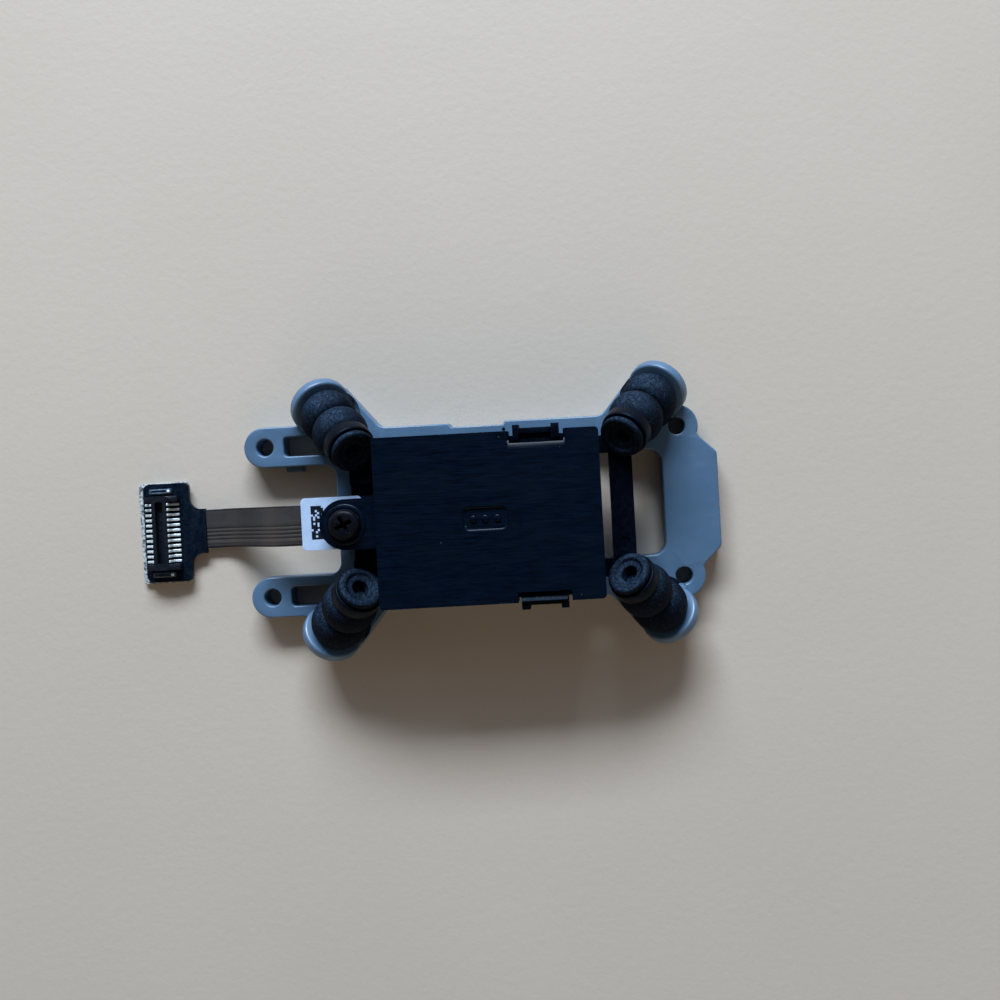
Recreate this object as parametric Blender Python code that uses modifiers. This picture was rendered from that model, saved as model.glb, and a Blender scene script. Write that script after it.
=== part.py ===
"""Vibration-isolated inertial sensor module with a flexible board tail.

A flat grey isolation frame carries four inclined rubber bellows.  The bellows
hold a black snap-fit case in which a small rigid-flex board lies.  The board's
flexible ribbon leaves the case on the -X side and ends in a 24-contact
board-to-board connector.

Lengths are written in millimetres and turned into metres on the way in.
Design axes: +X (right) towards the end plate, +Y towards the back edge, +Z up.
The design origin is the centre of the four bellows at the frame's underside.
"""

import math

import bmesh
import bpy
from mathutils import Matrix, Vector

MM = 0.001

# ---------------------------------------------------------------- shared dimensions
SHIFT_X = 5.30            # puts the centre of the bounding box on the origin

# bellows seats: one lug at each corner of the frame
LUG_X, LUG_Y, LUG_Z = 12.90, 8.65, 2.05   # centre of each seat
LUG_HALF = 0.40                           # half thickness of the seat plate
TILT = math.radians(46.4)                 # bellows axis from vertical
AZIMUTH = math.radians(49.1)              # bellows axis, plan angle from X
CORNERS = {                               # side along X, side along Y
    "left_back": (-1, 1),
    "left_front": (-1, -1),
    "right_back": (1, 1),
    "right_front": (1, -1),
}

# case: tray and cover
CASE_Y = -0.38            # the case sits slightly towards the front edge
COVER_X_MIN, COVER_X_MAX = -8.25, 8.00
TAB_X, TAB_Y = -10.55, -0.30              # centre of the cover's screw tab

# main board and the tongue that reaches out under the screw tab
BOARD_BASE, BOARD_TOP = 4.60, 5.20
TONGUE_X, TONGUE_Y = -14.10, -0.20        # end and centre line of the tongue

# connector board
CONN_Y = -0.38
CONN_BOARD_BASE, CONN_BOARD_TOP = 0.36, 0.76
NECK_X = -22.60           # end of the neck that meets the ribbon

# connector housing
HOUSING_X = -25.87
HOUSING_BASE, HOUSING_TOP = 0.79, 1.66

TURN_STEPS = 24           # steps round every turned part


# ---------------------------------------------------------------- scene
def make_collection(name):
    found = bpy.data.collections.get(name)
    if found is None:
        found = bpy.data.collections.new(name)
    if name not in bpy.context.scene.collection.children:
        bpy.context.scene.collection.children.link(found)
    return found


for old in list(bpy.data.objects):
    bpy.data.objects.remove(old, do_unlink=True)

PARTS = make_collection("isolated_sensor_module")
CUTTERS = make_collection("cutters")

root = bpy.data.objects.new("module_origin", None)
root.location = (SHIFT_X * MM, 0.0, 0.0)
PARTS.objects.link(root)


def material(name, color, roughness, metallic=0.0):
    finish = bpy.data.materials.new(name)
    finish.use_nodes = True
    shader = finish.node_tree.nodes.get("Principled BSDF")
    shader.inputs["Base Color"].default_value = (*color, 1.0)
    shader.inputs["Roughness"].default_value = roughness
    shader.inputs["Metallic"].default_value = metallic
    finish.diffuse_color = (*color, 1.0)
    return finish


# ---------------------------------------------------------------- outlines
def arc(center_x, center_y, radius, start, end, steps):
    """Points on a circle from angle start to end, in degrees."""
    points = []
    for i in range(steps + 1):
        angle = math.radians(start + (end - start) * i / steps)
        points.append((center_x + radius * math.cos(angle), center_y + radius * math.sin(angle)))
    return points


def circle(center_x, center_y, radius, segments):
    return arc(center_x, center_y, radius, 0, 360.0 * (segments - 1) / segments, segments - 1)


def rounded_rect(x_min, x_max, y_min, y_max, radius, steps):
    left, right = x_min + radius, x_max - radius
    front, back = y_min + radius, y_max - radius
    return (arc(right, back, radius, 0, 90, steps) + arc(left, back, radius, 90, 180, steps)
            + arc(left, front, radius, 180, 270, steps)
            + arc(right, front, radius, 270, 360, steps))


def mirrored(points, line_y=0.0):
    """The points reflected across y = line_y, in reverse order to continue a loop."""
    return [(x, 2 * line_y - y) for x, y in reversed(points)]


# ---------------------------------------------------------------- solids
# A solid made without a finish is a hidden cutter for boolean modifiers.
def add(name, mesh, finish):
    obj = bpy.data.objects.new(name, mesh)
    obj.parent = root
    if finish is None:
        CUTTERS.objects.link(obj)
        obj.hide_render = True
        obj.display_type = "WIRE"
    else:
        PARTS.objects.link(obj)
        mesh.materials.append(finish)
    return obj


def mesh_from(name, bm):
    mesh = bpy.data.meshes.new(name)
    bm.to_mesh(mesh)
    bm.free()
    return mesh


def box(name, x_min, x_max, y_min, y_max, z_min, z_max, finish=None):
    bm = bmesh.new()
    bmesh.ops.create_cube(bm, size=1.0)
    size = Vector((x_max - x_min, y_max - y_min, z_max - z_min)) * MM
    middle = Vector((x_min + x_max, y_min + y_max, z_min + z_max)) * 0.5 * MM
    place = Matrix.Translation(middle) @ Matrix.Diagonal(size).to_4x4()
    bmesh.ops.transform(bm, matrix=place, verts=bm.verts)
    return add(name, mesh_from(name, bm), finish)


def cylinder(name, radius, z_min, z_max, segments, x=0.0, y=0.0):
    """An upright cutter with its origin at (x, y, 0)."""
    bm = bmesh.new()
    bmesh.ops.create_cone(bm, cap_ends=True, segments=segments, radius1=radius * MM,
                          radius2=radius * MM, depth=(z_max - z_min) * MM)
    bmesh.ops.translate(bm, verts=bm.verts, vec=(0, 0, (z_min + z_max) * 0.5 * MM))
    obj = add(name, mesh_from(name, bm), None)
    obj.location = (x * MM, y * MM, 0.0)
    return obj


def plate(name, loops, low, high, finish=None, upright=False):
    """A flat outline, with any holes as further loops, extruded from low to high in Z.

    upright: the outline lies in the XZ plane and low..high is its span along Y.
    """
    curve = bpy.data.curves.new(name + "_outline", "CURVE")
    curve.dimensions = "2D"
    curve.fill_mode = "BOTH"
    curve.extrude = (high - low) * 0.5 * MM
    for loop in loops:
        spline = curve.splines.new("POLY")
        spline.points.add(len(loop) - 1)
        for point, (x, y) in zip(spline.points, loop):
            point.co = (x * MM, y * MM, 0.0, 1.0)
        spline.use_cyclic_u = True
    flat = bpy.data.objects.new(name + "_flat", curve)
    bpy.context.scene.collection.objects.link(flat)
    bpy.context.view_layer.update()
    depsgraph = bpy.context.evaluated_depsgraph_get()
    mesh = bpy.data.meshes.new_from_object(flat.evaluated_get(depsgraph))

    middle = (low + high) * 0.5 * MM
    if upright:
        turn = Matrix.Rotation(math.radians(90), 4, "X")
        place = Matrix.Translation((0, middle, 0)) @ turn
    else:
        place = Matrix.Translation((0, 0, middle))
    bm = bmesh.new()
    bm.from_mesh(mesh)
    bmesh.ops.remove_doubles(bm, verts=bm.verts, dist=1e-6)
    bmesh.ops.dissolve_degenerate(bm, edges=bm.edges, dist=1e-7)
    bmesh.ops.transform(bm, matrix=place, verts=bm.verts)
    bmesh.ops.recalc_face_normals(bm, faces=bm.faces)
    bm.to_mesh(mesh)
    bm.free()
    mesh.name = name
    bpy.data.objects.remove(flat, do_unlink=True)
    bpy.data.curves.remove(curve)
    return add(name, mesh, finish)


def turned(name, profile, finish):
    """A profile of (radius, height), from the axis at the top to the axis below, turned about Z."""
    bm = bmesh.new()
    verts = [bm.verts.new((radius * MM, 0.0, z * MM)) for radius, z in profile]
    for pair in zip(verts, verts[1:]):
        bm.edges.new(pair)
    obj = add(name, mesh_from(name, bm), finish)
    mod = obj.modifiers.new("turn", "SCREW")
    mod.axis = "Z"
    mod.angle = 2 * math.pi
    mod.steps = TURN_STEPS
    mod.render_steps = TURN_STEPS
    mod.use_merge_vertices = True
    mod.merge_threshold = 1e-6
    mod.use_smooth_shade = True
    return obj


# ---------------------------------------------------------------- joining and cutting
def boolean(body, operation, *pieces):
    for piece in pieces:
        mod = body.modifiers.new(operation.lower() + "_" + piece.name, "BOOLEAN")
        mod.object = piece
        mod.operation = operation
        mod.solver = "EXACT"


def join(body, *pieces):
    boolean(body, "UNION", *pieces)


def cut(body, *pieces):
    boolean(body, "DIFFERENCE", *pieces)


def place_on_seat(obj, side_x, side_y):
    """Put the origin on a seat's centre, with local +Z up and inwards along the bellows axis."""
    plan_x, plan_y = side_x * math.cos(AZIMUTH), side_y * math.sin(AZIMUTH)
    axis = Vector((-plan_x * math.sin(TILT), -plan_y * math.sin(TILT), math.cos(TILT)))
    across = axis.cross(Vector((plan_x, plan_y, 0.0))).normalized()
    radial = across.cross(axis).normalized()
    obj.location = Vector((side_x * LUG_X, side_y * LUG_Y, LUG_Z)) * MM
    obj.rotation_mode = "QUATERNION"
    obj.rotation_quaternion = Matrix((radial, across, axis)).transposed().to_quaternion()


def apply_on_seats(body, operation, cutters):
    """Cylinders on each bellows axis; rows are name, radius, start, end, segments."""
    for corner, sides in CORNERS.items():
        for name, radius, start, end, segments in cutters:
            cutter = cylinder(name + "_" + corner, radius, start, end, segments)
            place_on_seat(cutter, *sides)
            boolean(body, operation, cutter)


# ---------------------------------------------------------------- isolation frame
FRAME_T = 1.90            # plate thickness
PRONG_Y = 5.75            # prong centre line, each side
PRONG_HALF = 1.55         # prong half width and tip radius
PRONG_TIP_X = -19.00
PRONG_FILLET = 0.90       # between the left crossbar and a prong
BAR_X = -12.05            # outer edge of the left crossbar
EDGE_Y = 6.85             # long edges of the frame
EDGE_STEP = 0.16          # small rise where an edge meets a lug
NOTCH_DEPTH = 0.28        # shallow notch in the back edge
LUG_RADIUS = 2.30
LUG_FLANK = 1.70          # from a lug's centre to its outline points, along X
LUG_TIP_Y = 10.12
EAR_X, EAR_R = 14.20, 1.65                # rounded ears at the end plate
PLATE_END_X = 17.20       # right edge of the end plate
PRONG_HOLE_X = -17.40
MOUNT_HOLE_R = 0.65       # four fixing holes


def frame_half_outline(notched):
    """Back half of the plate outline, from the left crossbar to the right edge."""
    points = arc(BAR_X - PRONG_FILLET, PRONG_Y - PRONG_HALF - PRONG_FILLET, PRONG_FILLET, 0, 90, 5)
    points += arc(PRONG_TIP_X + PRONG_HALF, PRONG_Y, PRONG_HALF, 270, 90, 14)
    points += [(-15.20, PRONG_Y + PRONG_HALF), (-LUG_X - LUG_FLANK, 7.42),
               (-LUG_X + LUG_FLANK, LUG_TIP_Y), (-8.55, EDGE_Y + EDGE_STEP), (-8.20, EDGE_Y)]
    if notched:
        points += [(-3.20, EDGE_Y), (-3.05, EDGE_Y - NOTCH_DEPTH),
                   (0.90, EDGE_Y - NOTCH_DEPTH), (1.05, EDGE_Y)]
    points += [(8.20, EDGE_Y), (8.55, EDGE_Y + EDGE_STEP), (LUG_X - LUG_FLANK, LUG_TIP_Y),
               (LUG_X + LUG_FLANK, 7.30)]
    points += arc(EAR_X, PRONG_Y, EAR_R, 72, -22, 9)
    points += [(15.86, 4.92), (16.05, 4.72), (PLATE_END_X - 0.10, 3.72), (PLATE_END_X, 3.50)]
    return points


def build_frame():
    # the notch is in the back edge only
    outline = frame_half_outline(True) + mirrored(frame_half_outline(False))

    # one opening: wide under the case, narrower towards the end plate
    window_half = (
        arc(11.95, 3.05, 1.0, 0, 90, 5) + [(9.0, 4.05)]
        + arc(9.0, 4.65, 0.60, 270, 180, 3)
        + arc(7.60, 4.50, 0.80, 0, 90, 4)
        + arc(-8.60, 4.30, 1.00, 90, 180, 5)
    )
    slot = rounded_rect(-15.95, -12.60, 5.00, 6.48, 0.30, 3)
    loops = [outline, window_half + mirrored(window_half), slot, mirrored(slot)]
    for hole_x in (PRONG_HOLE_X, EAR_X):
        for side in (1, -1):
            loops.append(circle(hole_x, side * PRONG_Y, MOUNT_HOLE_R, 24))

    finish = material("frame_grey", color=(0.30, 0.33, 0.36), roughness=0.42)
    frame = plate("isolation_frame", loops, 0.0, FRAME_T, finish)
    join(frame, box("peg_block", -16.05, -14.75, 3.78, 4.60, 0.12, 1.05))
    apply_on_seats(frame, "UNION", [("seat", LUG_RADIUS, -LUG_HALF, LUG_HALF + 0.25, 32)])
    apply_on_seats(frame, "DIFFERENCE", [
        ("scoop", 2.55, LUG_HALF, 9.0, 32),
        ("pocket", 1.92, -5.0, -LUG_HALF + 0.05, 24),
        ("neck_hole", 1.26, -3.0, 3.0, 24),
    ])


# ---------------------------------------------------------------- rubber bellows
# radius, height along the bellows axis from the seat's centre
BELLOWS = [
    (0.0, 5.85), (0.44, 5.85), (0.50, 6.78), (1.04, 6.80), (1.14, 6.98), (1.46, 7.00),
    (1.62, 6.88), (1.65, 6.60), (1.55, 6.46), (0.97, 6.44), (0.97, 5.41), (1.36, 5.34),
    (1.78, 5.02), (2.00, 4.58), (2.05, 4.12), (1.96, 3.62), (1.68, 3.20), (1.36, 2.95),
    (1.62, 2.68), (1.94, 2.24), (2.10, 1.70), (2.10, 1.22), (1.96, 0.78), (1.66, 0.46),
    (1.20, 0.45), (1.20, -0.42), (1.68, -0.44), (1.75, -0.60), (1.72, -0.90), (1.50, -1.02),
    (0.0, -1.02),
]


def build_bellows():
    for corner, sides in CORNERS.items():
        finish = material("rubber_" + corner, color=(0.020, 0.022, 0.026), roughness=0.80)
        place_on_seat(turned("damper_" + corner, BELLOWS, finish), *sides)


# ---------------------------------------------------------------- carrier tray
TRAY_INSET = 0.30         # tray ends inside the cover ends
RING_START, RING_END = 5.45, 6.40         # carrier ring along the bellows axis

# blocks joined to the tray: name, x_min, x_max, y_min, y_max, z_min, z_max
TRAY_BLOCKS = [
    ("tub_low", -7.50, 7.20, -4.20, 4.20, 1.20, 3.35),
    ("bar_right", 8.75, 10.45, -5.50, 5.50, 4.10, 5.15),
    ("web_right_back", 7.30, 9.60, 3.90, 5.20, 4.18, 5.08),
    ("web_right_front", 7.30, 9.60, -5.25, -3.90, 4.18, 5.08),
    ("bar_left", -10.45, -8.75, -5.50, 5.50, 3.40, 4.42),
    ("block_left_back", -10.40, -8.80, 2.55, 5.45, 3.50, 5.15),
    ("block_left_front", -10.40, -8.80, -5.45, -3.05, 3.50, 5.15),
    ("web_left_back", -9.60, -7.50, 3.90, 5.20, 3.58, 5.08),
    ("web_left_front", -9.60, -7.50, -5.25, -3.90, 3.58, 5.08),
    ("web_left_mid", -9.30, -7.50, -4.30, 4.30, 3.48, 4.35),
]
# the snap clips on the long sides, same columns
TRAY_CLIPS = [
    ("clip_front_post_a", 1.95, 2.42, -6.95, -5.92, 5.20, 7.48),
    ("clip_front_post_b", 4.80, 5.27, -6.95, -5.92, 5.20, 7.48),
    ("clip_front_bar", 2.20, 5.00, -6.44, -6.04, 7.05, 7.66),
    ("clip_front_web", 2.08, 5.14, -6.80, -6.28, 5.40, 7.12),
    ("clip_back_post_a", 1.85, 2.32, 5.12, 6.20, 5.20, 7.25),
    ("clip_back_post_b", 4.62, 5.20, 5.12, 6.20, 5.20, 7.25),
    ("clip_back_bar", 2.10, 4.85, 5.56, 5.96, 6.60, 7.15),
    ("clip_back_web", 2.05, 4.90, 5.22, 5.86, 5.30, 6.42),
]


def build_tray():
    tray = box("carrier_tray", COVER_X_MIN + TRAY_INSET, COVER_X_MAX - TRAY_INSET,
               CASE_Y - 5.82, CASE_Y + 5.83, 3.10, 6.90,
               material("tray_black", color=(0.012, 0.012, 0.014), roughness=0.35))
    for row in TRAY_BLOCKS:
        join(tray, box(*row))
    join(tray, cylinder("screw_boss", 1.72, 3.12, 4.54, 24, TAB_X, TAB_Y))
    for row in TRAY_CLIPS:
        join(tray, box(*row))

    # rings that hold the upper ends of the bellows
    apply_on_seats(tray, "UNION", [("ring", 1.80, RING_START - 0.45, RING_END, 28)])
    apply_on_seats(tray, "DIFFERENCE", [
        ("clearance", 2.32, -2.0, RING_START, 28),
        ("ring_hole", 1.02, 4.0, 8.5, 24),
    ])
    cut(
        tray,
        box("cavity_upper", -7.35, 7.10, -5.60, 4.85, 4.55, 8.0),
        box("cavity_lower", -6.90, 6.60, -3.60, 3.60, 1.80, 5.0),
        box("tongue_door", -9.0, -7.0, TONGUE_Y - 2.0, TONGUE_Y + 2.0, 4.48, 8.0),
        cylinder("boss_bore", 0.66, 3.42, 6.0, 20, TAB_X, TAB_Y),
        cylinder("ejector_mark", 0.50, 5.07, 6.0, 20, 9.58, -2.84),
    )


# ---------------------------------------------------------------- top cover
COVER_HALF_Y = 6.15
COVER_TOP = 7.80
COVER_WALL = 0.27         # end wall thickness
TAB_R = 1.83              # rounded end and half width of the screw tab
TAB_ROOT_X = -7.99        # where the tab ends inside the case wall
MARK_HALF_Y = 0.87        # half width of the shallow recess in the top


def build_cover():
    outline = rounded_rect(COVER_X_MIN, COVER_X_MAX, CASE_Y - COVER_HALF_Y,
                           CASE_Y + COVER_HALF_Y, 0.35, 4)
    cover = plate("top_cover", [outline], 5.90, COVER_TOP,
                  material("cover_black", color=(0.010, 0.012, 0.016), roughness=0.50))
    tab = [(TAB_ROOT_X, TAB_Y - TAB_R), (TAB_ROOT_X, TAB_Y + TAB_R)]
    tab += arc(TAB_X, TAB_Y, TAB_R, 90, 270, 16)
    join(cover, plate("tab_block", [tab], 5.36, 7.02))

    mark = rounded_rect(-1.72, 1.22, CASE_Y - MARK_HALF_Y, CASE_Y + MARK_HALF_Y, 0.45, 4)
    cut(
        cover,
        box("cover_hollow", COVER_X_MIN + COVER_WALL, COVER_X_MAX - COVER_WALL,
            CASE_Y - 5.85, CASE_Y + 5.86, 5.0, 7.15),
        # openings for the tray's snap clips
        box("notch_front", 1.68, 5.54, -8.0, -5.78, 5.0, 9.0),
        box("notch_back", 1.56, 5.48, 4.78, 8.0, 5.0, 9.0),
        plate("mark_recess", [mark], 7.62, 8.6),
        cylinder("tab_bore", 0.72, 5.0, 8.0, 20, TAB_X, TAB_Y),
    )
    apply_on_seats(cover, "DIFFERENCE", [("corner_relief", 1.74, 5.2, 7.16, 24)])


# ---------------------------------------------------------------- cover screw
# radius, height
SCREW = [
    (0.0, 7.78), (0.55, 7.76), (0.92, 7.62), (1.12, 7.38), (1.15, 7.06), (0.60, 7.05),
    (0.60, 3.70), (0.42, 3.50), (0.0, 3.50),
]
# cross recess: name, half size along X, half size along Y, floor height
SCREW_CROSS = [("cross_a", 0.17, 0.66, 7.20), ("cross_b", 0.66, 0.17, 7.21)]


def build_screw():
    screw = turned("cover_screw", SCREW, material("screw_black_steel", color=(0.03, 0.03, 0.035),
                                                  roughness=0.35, metallic=0.9))
    screw.location = (TAB_X * MM, TAB_Y * MM, 0.0)
    for name, half_x, half_y, floor in SCREW_CROSS:
        cut(screw, box(name, TAB_X - half_x, TAB_X + half_x,
                       TAB_Y - half_y, TAB_Y + half_y, floor, 8.4))


# ---------------------------------------------------------------- main board
BOARD_X_MIN, BOARD_X_MAX = -7.20, 6.95
BOARD_Y_MIN, BOARD_Y_MAX = -5.45, 4.70
BOARD_CORNER = 0.40
TONGUE_HALF = 1.90
TONGUE_CORNER = 0.30
LABEL_HALF = 1.92


def build_board():
    left, right = BOARD_X_MIN + BOARD_CORNER, BOARD_X_MAX - BOARD_CORNER
    front, back = BOARD_Y_MIN + BOARD_CORNER, BOARD_Y_MAX - BOARD_CORNER
    tip = TONGUE_X + TONGUE_CORNER
    tip_half = TONGUE_HALF - TONGUE_CORNER
    outline = (
        arc(right, back, BOARD_CORNER, 0, 90, 3)
        + arc(left, back, BOARD_CORNER, 90, 180, 3)
        + [(BOARD_X_MIN, TONGUE_Y + TONGUE_HALF)]
        + arc(tip, TONGUE_Y + tip_half, TONGUE_CORNER, 90, 180, 3)
        + arc(tip, TONGUE_Y - tip_half, TONGUE_CORNER, 180, 270, 3)
        + [(BOARD_X_MIN, TONGUE_Y - TONGUE_HALF)]
        + arc(left, front, BOARD_CORNER, 180, 270, 3)
        + arc(right, front, BOARD_CORNER, 270, 360, 3)
    )
    plate("main_board", [outline, circle(TAB_X, TAB_Y, 0.74, 20)], BOARD_BASE, BOARD_TOP,
          material("board_soldermask", color=(0.006, 0.010, 0.018), roughness=0.30))


def build_label():
    outline = rounded_rect(TONGUE_X + 0.02, -9.60, TONGUE_Y - LABEL_HALF, TONGUE_Y + LABEL_HALF,
                           0.30, 3)
    plate("id_label", [outline, circle(TAB_X, TAB_Y, 0.80, 20)],
          BOARD_TOP + 0.02, BOARD_TOP + 0.10,
          material("label_white", color=(0.78, 0.78, 0.82), roughness=0.55))


# ---------------------------------------------------------------- parts on the board
CHIP_GAP = 0.03           # between the board and the parts on it

# finishes: colour, roughness
SENSOR = ((0.02, 0.02, 0.022), 0.40)
RESISTOR = ((0.03, 0.03, 0.03), 0.40)
CAPACITOR = ((0.42, 0.30, 0.18), 0.50)

# name, centre x, centre y, size x, size y, height, finish
CHIPS = [
    ("microcontroller", -4.10, -0.60, 5.00, 5.00, 0.85, ((0.015, 0.015, 0.017), 0.45)),
    ("imu_sensor_primary", 1.20, 1.20, 3.00, 3.00, 0.95, SENSOR),
    ("imu_sensor_backup", 1.20, -3.10, 2.50, 3.00, 0.90, SENSOR),
    ("voltage_regulator", 5.00, 3.00, 2.00, 2.00, 0.60, ((0.018, 0.018, 0.02), 0.45)),
    ("crystal", -5.30, 3.40, 2.00, 1.60, 0.50, ((0.75, 0.74, 0.70), 0.30)),
    ("heater_resistor_1", -0.85, 1.20, 0.50, 1.00, 0.35, RESISTOR),
    ("heater_resistor_2", 3.25, 1.20, 0.50, 1.00, 0.35, RESISTOR),
    ("heater_resistor_3", 1.20, 3.25, 1.00, 0.50, 0.35, RESISTOR),
    ("heater_resistor_4", 1.20, -0.85, 1.00, 0.50, 0.35, RESISTOR),
    ("capacitor_1", 5.20, 0.40, 1.00, 0.50, 0.50, CAPACITOR),
    ("capacitor_2", 5.20, -0.60, 1.00, 0.50, 0.50, CAPACITOR),
    ("capacitor_3", 5.20, -1.60, 1.00, 0.50, 0.50, CAPACITOR),
    ("capacitor_4", -5.90, -4.40, 1.00, 0.50, 0.50, CAPACITOR),
    ("capacitor_5", -4.30, -4.40, 1.00, 0.50, 0.50, CAPACITOR),
    ("capacitor_6", -2.70, -4.40, 1.00, 0.50, 0.50, CAPACITOR),
]


def build_chips():
    base = BOARD_TOP + CHIP_GAP
    for name, x, y, size_x, size_y, height, (color, roughness) in CHIPS:
        box(name, x - size_x / 2, x + size_x / 2, y - size_y / 2, y + size_y / 2,
            base, base + height, material(name + "_finish", color=color, roughness=roughness))


# ---------------------------------------------------------------- under the board
PAD_BASE = 3.45
PAD_GAP = 0.04            # above and below the thermal pad


def build_pad_and_ballast():
    box("thermal_pad", -3.50, 4.00, -3.00, 3.00, PAD_BASE, BOARD_BASE - PAD_GAP,
        material("thermal_gel", color=(0.45, 0.45, 0.50), roughness=0.80))
    box("ballast_plate", -6.70, 6.40, -3.40, 3.40, 1.85, PAD_BASE - PAD_GAP,
        material("ballast_steel", color=(0.50, 0.50, 0.52), roughness=0.35, metallic=1.0))


# ---------------------------------------------------------------- flexible ribbon
RIBBON_Y = -0.25
RIBBON_HALF = 1.50        # half width
RIBBON_HALF_T = 0.06      # half thickness
RIBBON_GAP = 0.03         # to the board at each end
RIBBON_STEPS = 28
FALL_START_X, FALL_END_X = -14.90, -21.40
RIBBON_HIGH = (BOARD_BASE + BOARD_TOP) / 2
RIBBON_LOW = (CONN_BOARD_BASE + CONN_BOARD_TOP) / 2


def ribbon_height(x):
    """Centre height of the ribbon: level at both ends with a smooth fall between."""
    along = (x - FALL_START_X) / (FALL_END_X - FALL_START_X)
    along = min(1.0, max(0.0, along))
    return RIBBON_HIGH + (RIBBON_LOW - RIBBON_HIGH) * along * along * (3.0 - 2.0 * along)


def build_ribbon():
    start, end = TONGUE_X - RIBBON_GAP, NECK_X + RIBBON_GAP
    top_line, low_line = [], []
    for i in range(RIBBON_STEPS + 1):
        x = start + (end - start) * i / RIBBON_STEPS
        z = ribbon_height(x)
        slope = (ribbon_height(x + 0.01) - ribbon_height(x - 0.01)) / 0.02
        # offset square to the centre line
        offset_z = RIBBON_HALF_T / math.hypot(1, slope)
        offset_x = -slope * offset_z
        top_line.append((x + offset_x, z + offset_z))
        low_line.append((x - offset_x, z - offset_z))
    plate("flex_ribbon", [top_line + low_line[::-1]],
          RIBBON_Y - RIBBON_HALF, RIBBON_Y + RIBBON_HALF,
          material("polyimide_brown", color=(0.045, 0.038, 0.034), roughness=0.45), upright=True)


# ---------------------------------------------------------------- connector board
CONN_X_MIN, CONN_X_MAX = -27.35, -23.80
CONN_HALF = 3.82
CONN_CORNER = 0.25
NECK_HALF = 1.72
NECK_FILLET = 0.85


def build_connector_board():
    corner_y = CONN_Y + CONN_HALF - CONN_CORNER
    half = [(NECK_X, CONN_Y + NECK_HALF)]
    half += arc(CONN_X_MAX + NECK_FILLET, CONN_Y + NECK_HALF + NECK_FILLET, NECK_FILLET,
                270, 180, 5)
    half += arc(CONN_X_MAX - CONN_CORNER, corner_y, CONN_CORNER, 0, 90, 3)
    half += arc(CONN_X_MIN + CONN_CORNER, corner_y, CONN_CORNER, 90, 180, 3)
    plate("connector_board", [half + mirrored(half, CONN_Y)], CONN_BOARD_BASE, CONN_BOARD_TOP,
          material("connector_soldermask", color=(0.010, 0.016, 0.026), roughness=0.30))


def build_stiffener():
    """A plate under the connector board, turned very slightly."""
    stiffener = plate("flex_stiffener", [rounded_rect(-1.92, 1.92, -3.90, 3.90, 0.20, 3)],
                      0.02, 0.32,
                      material("stiffener_epoxy", color=(0.55, 0.56, 0.54), roughness=0.60))
    stiffener.location = (-25.86 * MM, (CONN_Y - 0.02) * MM, 0.0)
    stiffener.rotation_euler = (0, 0, math.radians(0.7))


# ---------------------------------------------------------------- connector
CONTACTS = 12             # in each of the two rows
PITCH = 0.40
END_Y, HOLD_DOWN_Y = 2.62, 3.20           # from the connector's centre line
END_HALF = 0.22           # half width of housing ends and hold-downs
CONTACT_BASE = HOUSING_BASE + 0.01
FOOT_TOP = CONTACT_BASE + 0.16
LEG_TOP = HOUSING_TOP - 0.04
LEG_IN, LEG_OUT, FOOT_END = 0.59, 0.59 + 0.14, 1.31     # distances from HOUSING_X

# a foot along X and an upright leg beside the housing: distance from HOUSING_X, height
CONTACT_PROFILE = [
    (FOOT_END, CONTACT_BASE), (FOOT_END, FOOT_TOP), (LEG_OUT, FOOT_TOP),
    (LEG_OUT, LEG_TOP), (LEG_IN, LEG_TOP), (LEG_IN, CONTACT_BASE),
]


def centred_outline(half_x, half_y):
    """A rounded outline about the housing's centre."""
    return rounded_rect(HOUSING_X - half_x, HOUSING_X + half_x, CONN_Y - half_y, CONN_Y + half_y,
                        0.12, 2)


def build_housing():
    """A low body with a mating groove between its two rows of contacts."""
    housing = plate("connector_housing", [centred_outline(0.55, 2.87)], HOUSING_BASE, HOUSING_TOP,
                    material("housing_black", color=(0.012, 0.012, 0.013), roughness=0.40))
    for label, side in (("back", 1), ("front", -1)):
        y = CONN_Y + side * END_Y
        join(housing, box("housing_end_" + label, -27.02, -24.50, y - END_HALF, y + END_HALF,
                          HOUSING_BASE + 0.02, HOUSING_TOP - 0.05))
    cut(housing, plate("mating_groove", [centred_outline(0.30, 2.42)], 1.12, 2.4))


def build_hold_downs():
    for label, side in (("back", 1), ("front", -1)):
        y = CONN_Y + side * HOLD_DOWN_Y
        box("connector_hold_down_" + label, -26.72, -25.00, y - END_HALF, y + END_HALF,
            HOUSING_BASE, HOUSING_BASE + 0.42,
            material("hold_down_" + label, color=(0.55, 0.53, 0.48), roughness=0.30,
                     metallic=1.0))


def build_contacts():
    """Numbered from back to front, the -X row first."""
    finish = material("contact_tin", color=(0.70, 0.70, 0.68), roughness=0.28, metallic=1.0)
    for row, side in enumerate((-1, 1)):
        outline = [(HOUSING_X + side * distance, z) for distance, z in CONTACT_PROFILE]
        if side < 0:
            outline.reverse()
        for i in range(CONTACTS):
            y = CONN_Y + (CONTACTS - 1) * PITCH / 2 - i * PITCH
            plate("contact_%02d" % (row * CONTACTS + i + 1), [outline], y - 0.10, y + 0.10,
                  finish, upright=True)


# ---------------------------------------------------------------- shading
def shade_parts():
    """Smooth shading with sharp edges; the dampers are smoothed by their modifier."""
    for obj in PARTS.objects:
        if obj.type == "MESH" and not obj.name.startswith("damper"):
            obj.data.shade_smooth()
            obj.data.set_sharp_from_angle(angle=math.radians(35))


build_frame()
build_bellows()
build_tray()
build_cover()
build_screw()
build_board()
build_label()
build_chips()
build_pad_and_ballast()
build_ribbon()
build_connector_board()
build_stiffener()
build_housing()
build_hold_downs()
build_contacts()
shade_parts()
bpy.context.view_layer.update()
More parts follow.
